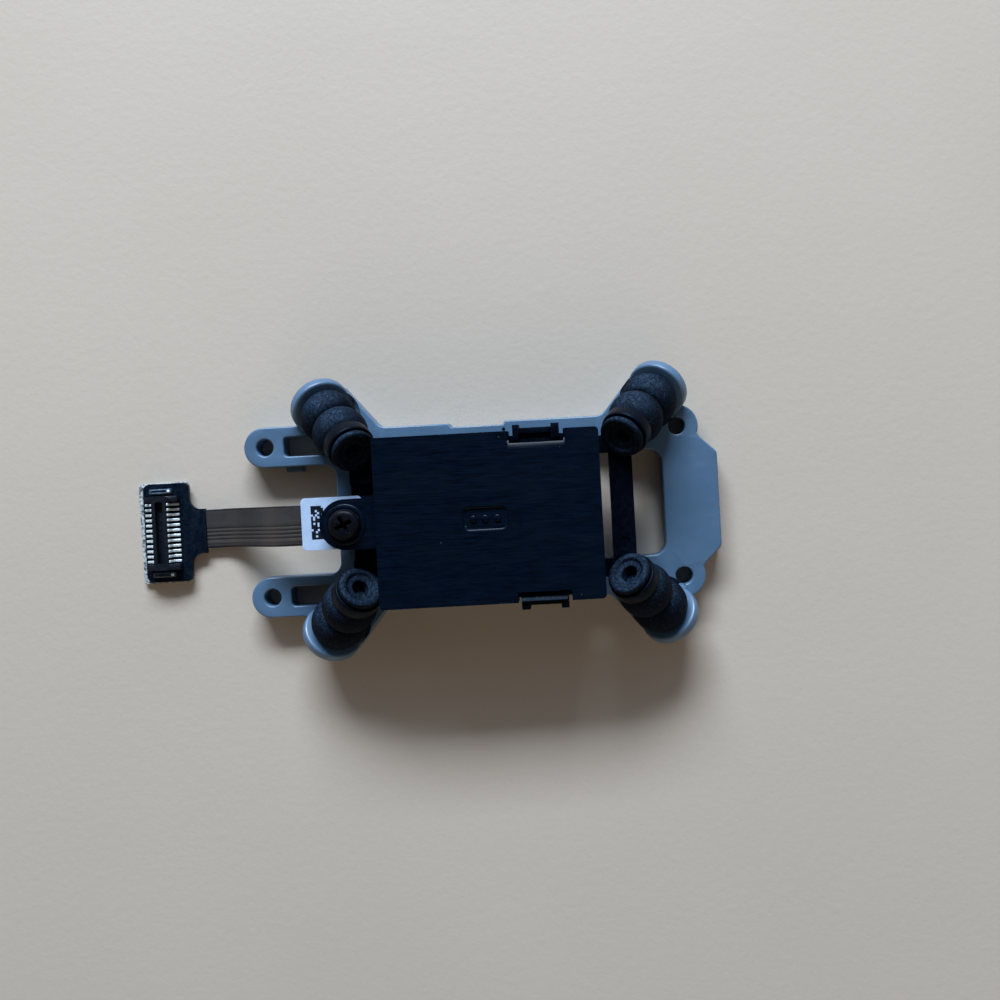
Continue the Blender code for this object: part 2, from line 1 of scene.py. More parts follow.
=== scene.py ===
"""Looks of the vibration-isolated sensor module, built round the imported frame.

A grey frame carries a black tray and cover on four tilted rubber bellows.  A ribbon
leaves the tray's left side and runs down to a small connector board.

Every piece is built in millimetres in the design axes (+X right, to the end plate,
+Y back, to the notched edge, +Z up) and is put into the row frame, in metres, when
it is finished.  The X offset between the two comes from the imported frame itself.
"""

import math
from functools import partialmethod

import bmesh
import bpy
from mathutils import Matrix, Vector


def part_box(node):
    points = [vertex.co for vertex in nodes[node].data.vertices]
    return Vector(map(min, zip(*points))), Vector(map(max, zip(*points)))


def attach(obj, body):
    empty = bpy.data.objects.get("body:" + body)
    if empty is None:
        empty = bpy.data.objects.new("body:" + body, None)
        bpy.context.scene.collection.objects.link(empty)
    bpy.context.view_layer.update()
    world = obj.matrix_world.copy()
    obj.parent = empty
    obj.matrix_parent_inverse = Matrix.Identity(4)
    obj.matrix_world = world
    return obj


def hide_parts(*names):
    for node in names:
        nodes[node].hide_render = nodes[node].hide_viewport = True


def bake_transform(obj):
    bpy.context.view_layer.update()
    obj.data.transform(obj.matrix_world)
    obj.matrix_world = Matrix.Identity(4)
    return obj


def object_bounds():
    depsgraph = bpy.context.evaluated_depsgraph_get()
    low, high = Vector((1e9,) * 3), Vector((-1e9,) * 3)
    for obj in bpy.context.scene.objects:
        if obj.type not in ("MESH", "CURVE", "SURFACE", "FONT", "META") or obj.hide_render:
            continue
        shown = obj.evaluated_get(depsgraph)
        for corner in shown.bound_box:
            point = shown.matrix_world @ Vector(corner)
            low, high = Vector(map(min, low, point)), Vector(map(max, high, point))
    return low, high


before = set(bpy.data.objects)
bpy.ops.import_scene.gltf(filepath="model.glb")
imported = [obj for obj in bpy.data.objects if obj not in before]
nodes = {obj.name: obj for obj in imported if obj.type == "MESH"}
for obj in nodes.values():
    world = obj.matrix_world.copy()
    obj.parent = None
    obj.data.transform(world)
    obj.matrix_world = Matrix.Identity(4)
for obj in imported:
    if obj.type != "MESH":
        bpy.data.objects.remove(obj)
cad_lo, cad_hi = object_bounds()
scene = bpy.context.scene

FRAME_RIGHT = 17.20                                     # right end of the frame, design X
ROW_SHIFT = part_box("isolation_frame")[1].x * 1000.0 - FRAME_RIGHT   # design X to row X, mm
TO_ROW = Matrix.Scale(0.001, 4) @ Matrix.Translation((ROW_SHIFT, 0.0, 0.0))

# the ribbon's centre line and half width; its material follows them
TAIL_Y, RIBBON_HALF = -0.25, 1.50


# =====================================================================
# shader helpers
# =====================================================================
class Nodes:
    """A node tree, with short calls that add nodes and return their outputs."""

    def __init__(self, tree):
        self.tree = tree

    def new(self, kind):
        return self.tree.nodes.new("ShaderNode" + kind)

    def feed(self, socket, value):
        """Gives a socket a number, a colour or another node's output."""
        if isinstance(value, (int, float)):
            socket.default_value = value
        elif isinstance(value, tuple):
            socket.default_value = (*value, 1.0)
        else:
            self.tree.links.new(value, socket)

    def texture(self, kind):
        return self.new("TexCoord").outputs[kind]

    def split(self, vector):
        node = self.new("SeparateXYZ")
        self.feed(node.inputs[0], vector)
        return node.outputs

    def coords(self, scale=(1, 1, 1)):
        """Object coordinates in millimetres, times scale."""
        vector = self.texture("Object")
        node = self.new("Mapping")
        node.inputs["Scale"].default_value = tuple(1000.0 * s for s in scale)
        self.feed(node.inputs["Vector"], vector)
        return node.outputs["Vector"]

    def noise(self, point, scale, detail=4.0, rough=0.55, distort=0.0):
        node = self.new("TexNoise")
        self.feed(node.inputs["Scale"], scale)
        self.feed(node.inputs["Detail"], detail)
        self.feed(node.inputs["Roughness"], rough)
        self.feed(node.inputs["Distortion"], distort)
        self.feed(node.inputs["Vector"], point)
        return node.outputs["Fac"]

    def voronoi(self, point, scale, feature="F1"):
        node = self.new("TexVoronoi")
        node.feature = feature
        self.feed(node.inputs["Scale"], scale)
        self.feed(node.inputs["Vector"], point)
        return node.outputs["Distance"]

    def dot(self, vector, direction):
        node = self.new("VectorMath")
        node.operation = "DOT_PRODUCT"
        self.feed(node.inputs[0], vector)
        node.inputs[1].default_value = direction
        return node.outputs["Value"]

    def ramp(self, factor, stops):
        """Colour ramp; each stop is (position, colour or grey level)."""
        node = self.new("ValToRGB")
        elements = node.color_ramp.elements
        while len(elements) < len(stops):
            elements.new(0.5)
        for i, (position, tone) in enumerate(stops):
            elements[i].position = position
            elements[i].color = (*tone, 1.0) if isinstance(tone, tuple) else (tone, tone, tone, 1.0)
        self.feed(node.inputs["Fac"], factor)
        return node.outputs["Color"]

    def mix(self, factor, under, over):
        node = self.new("Mix")
        node.data_type = "RGBA"
        self.feed(node.inputs["Factor"], factor)
        self.feed(node.inputs["A"], under)
        self.feed(node.inputs["B"], over)
        return node.outputs["Result"]

    def calc(self, operation, first, second=None, clamp=False):
        node = self.new("Math")
        node.operation = operation
        node.use_clamp = clamp
        self.feed(node.inputs[0], first)
        if second is not None:
            self.feed(node.inputs[1], second)
        return node.outputs["Value"]

    add = partialmethod(calc, "ADD")
    subtract = partialmethod(calc, "SUBTRACT")
    multiply = partialmethod(calc, "MULTIPLY")
    divide = partialmethod(calc, "DIVIDE")
    above = partialmethod(calc, "GREATER_THAN")
    below = partialmethod(calc, "LESS_THAN")


class Surface(Nodes):
    """A new material with its node tree and Principled shader."""

    def __init__(self, name, rgb, rough, metal=0.0, specular=0.5):
        self.material = bpy.data.materials.new(name)
        self.material.use_nodes = True
        super().__init__(self.material.node_tree)
        self.shader = self.tree.nodes.get("Principled BSDF")
        self.set("Base Color", rgb)
        self.set("Roughness", rough)
        self.set("Metallic", metal)
        self.set("Specular IOR Level", specular)
        self.material.diffuse_color = (*rgb, 1.0)

    def set(self, socket, value):
        self.feed(self.shader.inputs[socket], value)

    def bump(self, height, mm, strength):
        node = self.new("Bump")
        self.feed(node.inputs["Strength"], strength)
        self.feed(node.inputs["Distance"], mm * 0.001)
        self.feed(node.inputs["Height"], height)
        self.set("Normal", node.outputs["Normal"])


# =====================================================================
# materials
# =====================================================================
def frame_grey():
    look = Surface("frame_grey_satin", (0.072, 0.136, 0.224), rough=0.36, specular=0.62)
    point = look.coords()
    cloud = look.noise(point, scale=0.35, detail=3.0)
    colour = look.ramp(cloud, [(0.30, (0.064, 0.124, 0.205)), (0.72, (0.080, 0.150, 0.244))])
    fine = look.noise(point, scale=9.0, detail=2.0)
    colour = look.mix(look.multiply(fine, 0.08), colour, (0.13, 0.18, 0.24))
    # thin pale smears, long in X
    smear = look.noise(look.coords((0.5, 2.2, 1.0)), scale=1.3, detail=5.0, rough=0.6, distort=0.4)
    smeared = look.multiply(look.above(smear, 0.66), 0.10)
    look.set("Base Color", look.mix(smeared, colour, (0.22, 0.25, 0.28)))
    look.set("Roughness", look.ramp(smear, [(0.30, 0.32), (0.75, 0.45)]))
    grain = look.multiply(fine, 0.5)
    grain = look.add(grain, look.multiply(look.noise(point, scale=26.0, detail=3.0), 0.5))
    look.bump(grain, mm=0.012, strength=0.5)
    return look.material


def rubber_dust_and_painted_light():
    """Near-black rubber with pale dust grains; the sides that face the window light are painted
    lighter, a painted lit side broken into blotches.
    """
    look = Surface("rubber_dust_and_painted_light", (0.002, 0.005, 0.011), rough=0.70, specular=0.05)
    point = look.coords()
    cloud = look.noise(point, scale=1.1, detail=5.0, rough=0.65)
    fine = look.noise(point, scale=8.5, detail=5.0, rough=0.70)
    dark = look.ramp(cloud, [(0.36, (0.0008, 0.0020, 0.0052)), (0.60, (0.0024, 0.0056, 0.0130)),
                             (0.82, (0.0060, 0.0120, 0.0240))])
    # painted light: the lighter colour of the painted lit side
    painted_lit_colour = look.ramp(fine, [(0.34, (0.0060, 0.0130, 0.0270)), (0.52, (0.0190, 0.0380, 0.0680)),
                             (0.70, (0.0520, 0.0860, 0.1300))])
    # painted light: the sides turned towards the window light get the lit colour, in blotches; the
    # sides turned away keep the dark base as painted shade
    to_window_light = (-0.15, 0.62, 0.77)
    facing = look.dot(look.new("NewGeometry").outputs["Normal"], to_window_light)
    facing = look.ramp(facing, [(0.52, 0.0), (0.78, 0.38), (1.0, 1.0)])
    patch = look.add(0.45, look.multiply(cloud, 0.90))
    blotch = look.noise(point, scale=4.6, detail=4.0, rough=0.65)
    facing = look.multiply(facing, look.ramp(blotch, [(0.42, 0.22), (0.60, 1.0)]))
    # painted lit side laid over the dark base
    colour = look.mix(look.multiply(facing, patch, clamp=True), dark, painted_lit_colour)
    # single pale grains all over
    grain = look.ramp(fine, [(0.57, 0.0), (0.68, 0.70)])
    look.set("Base Color", look.mix(grain, colour, (0.044, 0.070, 0.105)))
    look.set("Roughness", look.ramp(cloud, [(0.3, 0.56), (0.8, 0.84)]))
    coarse = look.noise(point, scale=8.0, detail=5.0, rough=0.6)
    height = look.add(coarse, look.multiply(look.noise(point, scale=24.0, detail=3.0), 0.5))
    look.bump(height, mm=0.040, strength=0.65)
    return look.material


def tray_black():
    look = Surface("tray_black_semigloss", (0.001, 0.002, 0.004), rough=0.40, specular=0.08)
    point = look.coords()
    cloud = look.noise(point, scale=2.5, detail=5.0, rough=0.6)
    look.set("Base Color", look.ramp(cloud, [(0.35, (0.0004, 0.0010, 0.0034)),
                                             (0.75, (0.0018, 0.0036, 0.0090))]))
    # the front clip's bar is rubbed smooth and shines; its bounds are in row metres
    bar_back, bar_low, bar_x, bar_half = -0.00590, 0.00718, 0.00358, 0.0019
    axes = look.split(look.texture("Object"))
    rubbed = look.multiply(look.below(axes["Y"], bar_back), look.above(axes["Z"], bar_low))
    from_middle = look.calc("ABSOLUTE", look.subtract(axes["X"], bar_x))
    rubbed = look.multiply(rubbed, look.below(from_middle, bar_half))
    rough = look.ramp(cloud, [(0.30, 0.34), (0.75, 0.52)])
    look.set("Roughness", look.mix(rubbed, rough, (0.36, 0.36, 0.36)))
    look.set("Specular IOR Level", look.mix(rubbed, (0.08, 0.08, 0.08), (0.50, 0.50, 0.50)))
    # painted reflection: the blue specular tint colours the tray's reflections blue
    look.set("Specular Tint", (0.55, 0.75, 1.0))
    coarse = look.noise(point, scale=5.0)
    height = look.add(coarse, look.multiply(look.noise(point, scale=20.0, detail=2.0), 0.4))
    look.bump(height, mm=0.018, strength=0.45)
    return look.material


def cover_black():
    """Black plastic with fine lines drawn along X, from the mould's milling."""
    look = Surface("cover_black_lined", (0.0006, 0.003, 0.008), rough=0.40, specular=0.13)
    medium = look.noise(look.coords((0.55, 9.0, 9.0)), scale=1.0, rough=0.6)
    broad = look.noise(look.coords((0.18, 3.4, 3.4)), scale=1.0, detail=3.0, rough=0.5)
    thin = look.noise(look.coords((1.2, 26.0, 26.0)), scale=1.0, detail=3.0, rough=0.6)
    point = look.coords()
    blotch = look.noise(point, scale=0.42, rough=0.6)
    lines = look.multiply(medium, 0.6)
    lines = look.add(lines, look.multiply(thin, 0.4))
    colour = look.ramp(lines, [(0.38, (0.0001, 0.0006, 0.0026)), (0.62, (0.0013, 0.0060, 0.0170))])
    blotched = look.ramp(blotch, [(0.35, 0.0), (0.75, 0.45)])
    colour = look.mix(blotched, colour, (0.0008, 0.0040, 0.0090))
    # a few short pale scuffs
    scuff = look.noise(look.coords((1.0, 1.6, 1.0)), scale=1.45, detail=6.0, rough=0.72, distort=0.6)
    scuffed = look.multiply(look.above(scuff, 0.735), 0.30)
    colour = look.mix(scuffed, colour, (0.10, 0.12, 0.14))
    # stray dust: dots of uneven size, only in some areas
    distance = look.voronoi(point, scale=1.05)
    dot_size = look.multiply(look.noise(point, scale=0.9, detail=2.0), 0.085)
    dots = look.below(distance, dot_size)
    areas = look.above(look.noise(point, scale=0.55, detail=1.0), 0.56)
    dust = look.multiply(look.multiply(dots, areas), 0.55)
    look.set("Base Color", look.mix(dust, colour, (0.10, 0.14, 0.18)))
    rough = look.multiply(broad, 0.22)
    rough = look.add(rough, look.multiply(blotch, 0.18))
    look.set("Roughness", look.add(rough, 0.14))
    look.bump(look.add(lines, look.multiply(broad, 0.5)), mm=0.014, strength=0.35)
    return look.material


def screw_black():
    look = Surface("screw_black_oxide", (0.003, 0.005, 0.009), rough=0.48, specular=0.07)
    point = look.coords()
    wear = look.noise(point, scale=7.0, detail=5.0, rough=0.65)
    look.set("Base Color", look.ramp(wear, [
        (0.35, (0.0016, 0.0022, 0.0040)), (0.66, (0.0060, 0.0070, 0.0100)),
        (0.76, (0.18, 0.19, 0.21))]))
    look.set("Roughness", look.ramp(wear, [(0.3, 0.26), (0.8, 0.50)]))
    look.bump(look.noise(point, scale=16.0), mm=0.012, strength=0.5)
    return look.material


def soldermask_black():
    look = Surface("soldermask_black", (0.002, 0.005, 0.012), rough=0.38, specular=0.14)
    point = look.coords()
    cloud = look.noise(point, scale=3.2, detail=5.0, rough=0.65)
    colour = look.ramp(cloud, [(0.36, (0.0008, 0.0030, 0.0080)), (0.64, (0.0030, 0.0080, 0.0180)),
                               (0.86, (0.0140, 0.0260, 0.0420))])
    grains = look.above(look.noise(point, scale=14.0, detail=2.0), 0.64)
    look.set("Base Color", look.mix(look.multiply(grains, 0.35), colour, (0.045, 0.060, 0.072)))
    look.set("Roughness", look.ramp(cloud, [(0.3, 0.28), (0.8, 0.46)]))
    look.bump(look.noise(point, scale=10.0), mm=0.014, strength=0.5)
    return look.material


def label_white():
    """White film with a small block of dark cells that spells nothing."""
    look = Surface("label_white_film", (0.74, 0.74, 0.80), rough=0.55, specular=0.16)
    cell, share_dark = 0.155, 0.78
    block_x, block_y = -13.36, -1.34         # left front corner of the block of cells
    columns, rows = 6, 16
    axes = look.split(look.texture("Object"))
    x = look.multiply(axes["X"], 1000.0)
    y = look.multiply(axes["Y"], 1000.0)
    column = look.divide(look.subtract(x, ROW_SHIFT + block_x), cell)
    column = look.calc("FLOOR", column)
    line = look.divide(look.subtract(y, block_y), cell)
    line = look.calc("FLOOR", line)
    index = look.new("CombineXYZ")
    look.feed(index.inputs[0], column)
    look.feed(index.inputs[1], line)
    white = look.new("TexWhiteNoise")
    look.feed(white.inputs["Vector"], index.outputs[0])
    dark = look.below(white.outputs["Value"], share_dark)
    inside = 1.0
    for value, count in ((column, columns), (line, rows)):
        within = look.multiply(look.above(value, -0.5), look.below(value, count - 0.5))
        inside = look.multiply(within, inside)
    dark = look.multiply(dark, inside)
    point = look.coords()
    paper = look.ramp(look.noise(point, scale=2.0),
                      [(0.3, (0.39, 0.50, 0.68)), (0.75, (0.45, 0.57, 0.76))])
    look.set("Base Color", look.mix(dark, paper, (0.0030, 0.0060, 0.0130)))
    look.bump(look.noise(point, scale=12.0, detail=3.0), mm=0.006, strength=0.4)
    return look.material


def polyimide_traces():
    """Dark polyimide over copper: four narrow traces at the front, a broad band behind."""
    look = Surface("polyimide_traces", (0.06, 0.055, 0.055), rough=0.40)
    y = look.multiply(look.split(look.texture("Object"))["Y"], 1000.0)
    across = look.divide(look.subtract(y, TAIL_Y - RIBBON_HALF), 2 * RIBBON_HALF)
    dark, edge = (0.014, 0.012, 0.013), (0.004, 0.005, 0.007)
    band, line = (0.036, 0.032, 0.033), (0.060, 0.050, 0.044)
    # share of the width from the front edge, colour there
    colour = look.ramp(across, [
        (0.000, edge), (0.040, edge), (0.055, band), (0.085, band), (0.105, dark),
        (0.120, line), (0.195, line), (0.205, dark), (0.235, dark),
        (0.245, line), (0.285, line), (0.300, dark), (0.330, dark),
        (0.345, line), (0.385, line), (0.400, dark), (0.425, dark),
        (0.440, line), (0.480, line), (0.500, dark), (0.520, dark),
        (0.540, band), (0.620, (0.042, 0.038, 0.038)), (0.900, band), (0.955, band),
        (0.965, edge), (1.0, edge)])
    along = look.noise(look.coords((0.5, 7.0, 0.5)), scale=1.0, rough=0.6)
    streaks = look.ramp(along, [(0.4, 0.0), (0.8, 0.35)])
    look.set("Base Color", look.mix(streaks, colour, (0.022, 0.020, 0.020)))
    point = look.coords()
    look.set("Roughness", look.ramp(look.noise(point, scale=1.6), [(0.3, 0.30), (0.8, 0.50)]))
    look.bump(look.noise(point, scale=7.0), mm=0.010, strength=0.4)
    look.set("Coat Weight", 0.05)
    return look.material


def stiffener_speckled():
    look = Surface("stiffener_speckled", (0.42, 0.44, 0.43), rough=0.55)
    speckle = look.noise(look.coords(), scale=4.6, rough=0.65)
    look.set("Base Color", look.ramp(speckle, [
        (0.40, (0.045, 0.055, 0.065)), (0.48, (0.30, 0.33, 0.34)), (0.60, (0.62, 0.64, 0.62))]))
    look.bump(speckle, mm=0.030, strength=0.6)
    return look.material


def contact_bright():
    look = Surface("contact_bright", (0.74, 0.79, 0.82), rough=0.30, metal=0.30)
    point = look.coords()
    cloud = look.noise(point, scale=9.0, rough=0.6)
    look.set("Base Color", look.ramp(cloud, [(0.3, (0.60, 0.68, 0.72)), (0.7, (0.86, 0.90, 0.92))]))
    look.set("Roughness", look.ramp(cloud, [(0.3, 0.18), (0.8, 0.36)]))
    look.bump(look.noise(point, scale=18.0, detail=3.0), mm=0.006, strength=0.5)
    return look.material


def plain(name, rgb, rough, metal=0.0, spread=0.25, grain=6.0):
    """One colour, cloudy by spread either way, with a fine grain of the given scale."""
    look = Surface(name, rgb, rough, metal)
    point = look.coords()
    cloud = look.noise(point, scale=3.0, rough=0.6)
    darker = tuple(c * (1 - spread) for c in rgb)
    lighter = tuple(min(1.0, c * (1 + spread)) for c in rgb)
    look.set("Base Color", look.ramp(cloud, [(0.3, darker), (0.7, lighter)]))
    look.set("Roughness", look.ramp(cloud, [(0.3, max(0.05, rough - 0.07)), (0.75, rough + 0.08)]))
    look.bump(look.noise(point, scale=grain), mm=0.010, strength=0.5)
    return look.material


FRAME = frame_grey()
RUBBER = rubber_dust_and_painted_light()
TRAY = tray_black()
COVER = cover_black()
SCREW = screw_black()
SOLDERMASK = soldermask_black()
LABEL = label_white()
RIBBON = polyimide_traces()
STIFFENER = stiffener_speckled()
CONTACT = contact_bright()
HOLD_DOWN = plain("hold_down_tarnished", (0.045, 0.075, 0.115), rough=0.34, metal=0.35,
                  spread=0.6, grain=12.0)
HOUSING = plain("housing_black_lcp", (0.0012, 0.0030, 0.0085), rough=0.42, grain=9.0)
CHIP = plain("chip_epoxy", (0.016, 0.016, 0.018), rough=0.45, grain=14.0)
CERAMIC = plain("capacitor_ceramic", (0.40, 0.28, 0.17), rough=0.50)
CAN = plain("crystal_can", (0.62, 0.61, 0.58), rough=0.28, metal=1.0, spread=0.10)
GEL = plain("thermal_gel_grey", (0.42, 0.43, 0.50), rough=0.75)
ZINC = plain("ballast_zinc", (0.52, 0.52, 0.55), rough=0.35, metal=1.0, spread=0.12)


# =====================================================================
# outlines
# =====================================================================
def arc(cx, cy, radius, start, end, steps):
    """Points on an arc between two angles in degrees."""
    angles = [math.radians(start + (end - start) * i / steps) for i in range(steps + 1)]
    return [(cx + radius * math.cos(a), cy + radius * math.sin(a)) for a in angles]


def rounded_rect(x0, x1, y0, y1, radius, steps):
    return (arc(x1 - radius, y1 - radius, radius, 0, 90, steps)
            + arc(x0 + radius, y1 - radius, radius, 90, 180, steps)
            + arc(x0 + radius, y0 + radius, radius, 180, 270, steps)
            + arc(x1 - radius, y0 + radius, radius, 270, 360, steps))


def circle(cx, cy, radius, sides):
    return arc(cx, cy, radius, 0, 360.0 * (sides - 1) / sides, sides - 1)


def mirrored(points, middle=0.0):
    """The points reflected across y = middle, in reverse order."""
    return [(x, 2 * middle - y) for x, y in reversed(points)]


def clean(loop):
    """Drops points that repeat the one before."""
    out = []
    for x, y in loop:
        if not out or math.hypot(x - out[-1][0], y - out[-1][1]) > 1e-4:
            out.append((x, y))
    if math.hypot(out[0][0] - out[-1][0], out[0][1] - out[-1][1]) < 1e-4:
        out.pop()
    return out


def area(loop):
    return 0.5 * sum(a[0] * b[1] - b[0] * a[1] for a, b in zip(loop, loop[1:] + loop[:1]))


def inset(loop, distance):
    """Moves a loop into the material, which lies on the left of its direction."""
    out = []
    for i in range(len(loop)):
        before, here, after = (Vector(loop[k]) for k in (i - 1, i, (i + 1) % len(loop)))
        edge_in, edge_out = (here - before).normalized(), (after - here).normalized()
        normal_in = Vector((-edge_in.y, edge_in.x))
        normal_out = Vector((-edge_out.y, edge_out.x))
        miter = normal_in + normal_out
        miter = miter.normalized() if miter.length > 1e-6 else normal_in
        move = distance / max(0.45, miter.dot(normal_in))
        out.append((here.x + miter.x * move, here.y + miter.y * move))
    return out


# =====================================================================
# solids (millimetres)
# =====================================================================
UPRIGHT = Matrix(((1, 0, 0, 0), (0, 0, 1, 0), (0, 1, 0, 0), (0, 0, 0, 1)))   # outline to XZ
ALONG_X = Matrix(((0, 0, 1, 0), (1, 0, 0, 0), (0, 1, 0, 0), (0, 0, 0, 1)))   # outline to YZ


def add_object(name, bm, material=None):
    mesh = bpy.data.meshes.new(name)
    bm.normal_update()
    bm.to_mesh(mesh)
    bm.free()
    o = bpy.data.objects.new(name, mesh)
    scene.collection.objects.link(o)
    if material:
        mesh.materials.append(material)
    return o


def slab(name, loops, z0, z1, top=0.0, low=0.0, steps=3, material=None, upright=False):
    """A flat outline with holes, between z0 and z1.

    top and low are the radii that round the upper and lower edges.  Upright, the
    outline lies in XZ, and z0 to z1 runs along Y.
    """
    bm = bmesh.new()
    top_rings, low_rings = [], []
    quarter = [math.pi / 2 * j / steps for j in range(steps + 1)]
    levels = [(0.0, z0)]            # (inset, height) of each ring, from the bottom up
    if low > 0:
        levels = [(low * (1 - math.sin(a)), z0 + low * (1 - math.cos(a))) for a in quarter]
    if top > 0:
        levels += [(top * (1 - math.sin(a)), z1 - top * (1 - math.cos(a)))
                   for a in reversed(quarter)]
    else:
        levels.append((0.0, z1))
    for k, loop in enumerate(loops):
        loop = clean(list(loop))
        if (area(loop) > 0) != (k == 0):
            loop = loop[::-1]
        rings = []
        for distance, z in levels:
            points = inset(loop, distance) if distance > 1e-9 else loop
            rings.append([bm.verts.new((x, y, z)) for x, y in points])
        n = len(loop)
        for below, above in zip(rings, rings[1:]):
            for i in range(n):
                j = (i + 1) % n
                bm.faces.new((below[i], below[j], above[j], above[i]))
        top_rings.append(rings[-1])
        low_rings.append(rings[0])
    for group, facing in ((top_rings, 1.0), (low_rings, -1.0)):
        edges = [bm.edges.get((ring[i], ring[(i + 1) % len(ring)]))
                 for ring in group for i in range(len(ring))]
        bmesh.ops.triangle_fill(bm, use_beauty=True, edges=edges, normal=(0, 0, facing))
    bmesh.ops.remove_doubles(bm, verts=bm.verts, dist=1e-5)
    bmesh.ops.recalc_face_normals(bm, faces=bm.faces)
    if upright:
        bmesh.ops.transform(bm, matrix=UPRIGHT, verts=bm.verts)
        bmesh.ops.reverse_faces(bm, faces=bm.faces)
    return add_object(name, bm, material)


def bar(profile, x0, x1):
    """A straight bar along X; the profile lies in YZ."""
    o = slab("bar", [profile], x0, x1)
    o.data.transform(ALONG_X)
    return o


def block(x0, x1, y0, y1, z0, z1, name="block", material=None):
    bm = bmesh.new()
    bmesh.ops.create_cube(bm, size=1.0)
    centre = Matrix.Translation(((x0 + x1) / 2, (y0 + y1) / 2, (z0 + z1) / 2))
    size = Matrix.Diagonal((x1 - x0, y1 - y0, z1 - z0, 1.0))
    bmesh.ops.transform(bm, verts=bm.verts, matrix=centre @ size)
    return add_object(name, bm, material)


def rod(x, y, radius, z0, z1, sides):
    bm = bmesh.new()
    bmesh.ops.create_cone(bm, cap_ends=True, segments=sides, radius1=radius, radius2=radius,
                          depth=z1 - z0)
    bmesh.ops.translate(bm, verts=bm.verts, vec=(x, y, (z0 + z1) / 2))
    return add_object("rod", bm)


def turned(name, profile, sides=72, material=None):
    """Profile of (radius, height) from top to bottom, turned about Z and closed on the axis."""
    bm = bmesh.new()
    turns = [2 * math.pi * i / sides for i in range(sides)]
    rings = []
    for radius, z in profile:
        if radius < 1e-6:
            rings.append([bm.verts.new((0, 0, z))])
        else:
            rings.append([bm.verts.new((radius * math.cos(a), radius * math.sin(a), z))
                          for a in turns])
    for upper, lower in zip(rings, rings[1:]):
        for i in range(sides):
            j = (i + 1) % sides
            if len(upper) == 1:
                bm.faces.new((upper[0], lower[i], lower[j]))
            elif len(lower) == 1:
                bm.faces.new((upper[i], lower[0], upper[j]))
            else:
                bm.faces.new((upper[i], lower[i], lower[j], upper[j]))
    bmesh.ops.recalc_face_normals(bm, faces=bm.faces)
    return add_object(name, bm, material)


def boolean(o, tools, operation):
    for tool in tools:
        modifier = o.modifiers.new(operation, "BOOLEAN")
        modifier.object = tool
        modifier.operation = operation
        modifier.solver = "EXACT"


def join(o, *tools):
    boolean(o, tools, "UNION")


def cut(o, *tools):
    boolean(o, tools, "DIFFERENCE")


def bake(o):
    """Applies the modifiers, keeps the first material and removes the boolean tools."""
    bpy.context.view_layer.update()
    depsgraph = bpy.context.evaluated_depsgraph_get()
    mesh = bpy.data.meshes.new_from_object(o.evaluated_get(depsgraph))
    tools = [m.object for m in o.modifiers if m.type == "BOOLEAN"]
    o.modifiers.clear()
    material = o.data.materials[0]
    o.data = mesh
    mesh.materials.clear()
    mesh.materials.append(material)
    for polygon in mesh.polygons:
        polygon.material_index = 0
    for tool in tools:
        bpy.data.objects.remove(tool, do_unlink=True)


def soften(o, width, angle=32):
    """Rounds the hard edges left by joining and cutting."""
    bm = bmesh.new()
    bm.from_mesh(o.data)
    bmesh.ops.remove_doubles(bm, verts=bm.verts, dist=1e-4)
    bmesh.ops.dissolve_limit(bm, angle_limit=math.radians(0.6), verts=bm.verts, edges=bm.edges)
    bm.to_mesh(o.data)
    bm.free()
    bevel = o.modifiers.new("round", "BEVEL")
    bevel.width = width
    bevel.segments = 2
    bevel.limit_method = "ANGLE"
    bevel.angle_limit = math.radians(angle)
    bevel.use_clamp_overlap = True
    bevel.miter_outer = "MITER_ARC"
    bake(o)


def finish(o, body, replaces=None, smooth=35):
    """Puts a piece in the row frame, shades it, and says what it rides on and stands for."""
    o.data.transform(TO_ROW)
    o.data.shade_smooth()
    o.data.set_sharp_from_angle(angle=math.radians(smooth))
    weighted = o.modifiers.new("weighted", "WEIGHTED_NORMAL")
    weighted.keep_sharp = True
    weighted.weight = 60
    if body:
        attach(o, body)
    if replaces:
        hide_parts(replaces)


# =====================================================================
# the suspension's seats: one tilted axis at each corner
# =====================================================================
LUG_X, LUG_Y, LUG_Z = 12.90, 8.65, 2.05
TILT, AZIMUTH = math.radians(46.4), math.radians(49.1)
CORNERS = {"left_back": (-1, 1), "left_front": (-1, -1),
           "right_back": (1, 1), "right_front": (1, -1)}


def seat_matrix(sx, sy):
    """Seat axes: Z leans up and in over the module; the origin is the lug's centre."""
    axis = Vector((-sx * math.cos(AZIMUTH) * math.sin(TILT),
                   -sy * math.sin(AZIMUTH) * math.sin(TILT), math.cos(TILT)))
    outward = Vector((sx * math.cos(AZIMUTH), sy * math.sin(AZIMUTH), 0.0))
    side = axis.cross(outward).normalized()
    radial = side.cross(axis).normalized()
    turn = Matrix((radial, side, axis)).transposed().to_4x4()
    return Matrix.Translation((sx * LUG_X, sy * LUG_Y, LUG_Z)) @ turn


SEATS = {corner: seat_matrix(*signs) for corner, signs in CORNERS.items()}


def seat_rod(seat, radius, z0, z1, sides):
    o = rod(0, 0, radius, z0, z1, sides)
    o.data.transform(seat)
    return o


# =====================================================================
# isolation frame
# =====================================================================
HOLE_Y, HOLE_R = 5.75, 0.65
LEFT_HOLE_X, RIGHT_HOLE_X = -17.40, 14.20
FRAME_LEFT, LEFT_EAR_R, RIGHT_EAR_R = -19.0, 1.55, 1.65
EAR_FILLET = 0.90
LUG_HALF = 1.70                                # half width of a lug, along X
EDGE_Y, NOTCH_Y = 6.85, 6.57                   # long edge, and the notch's floor


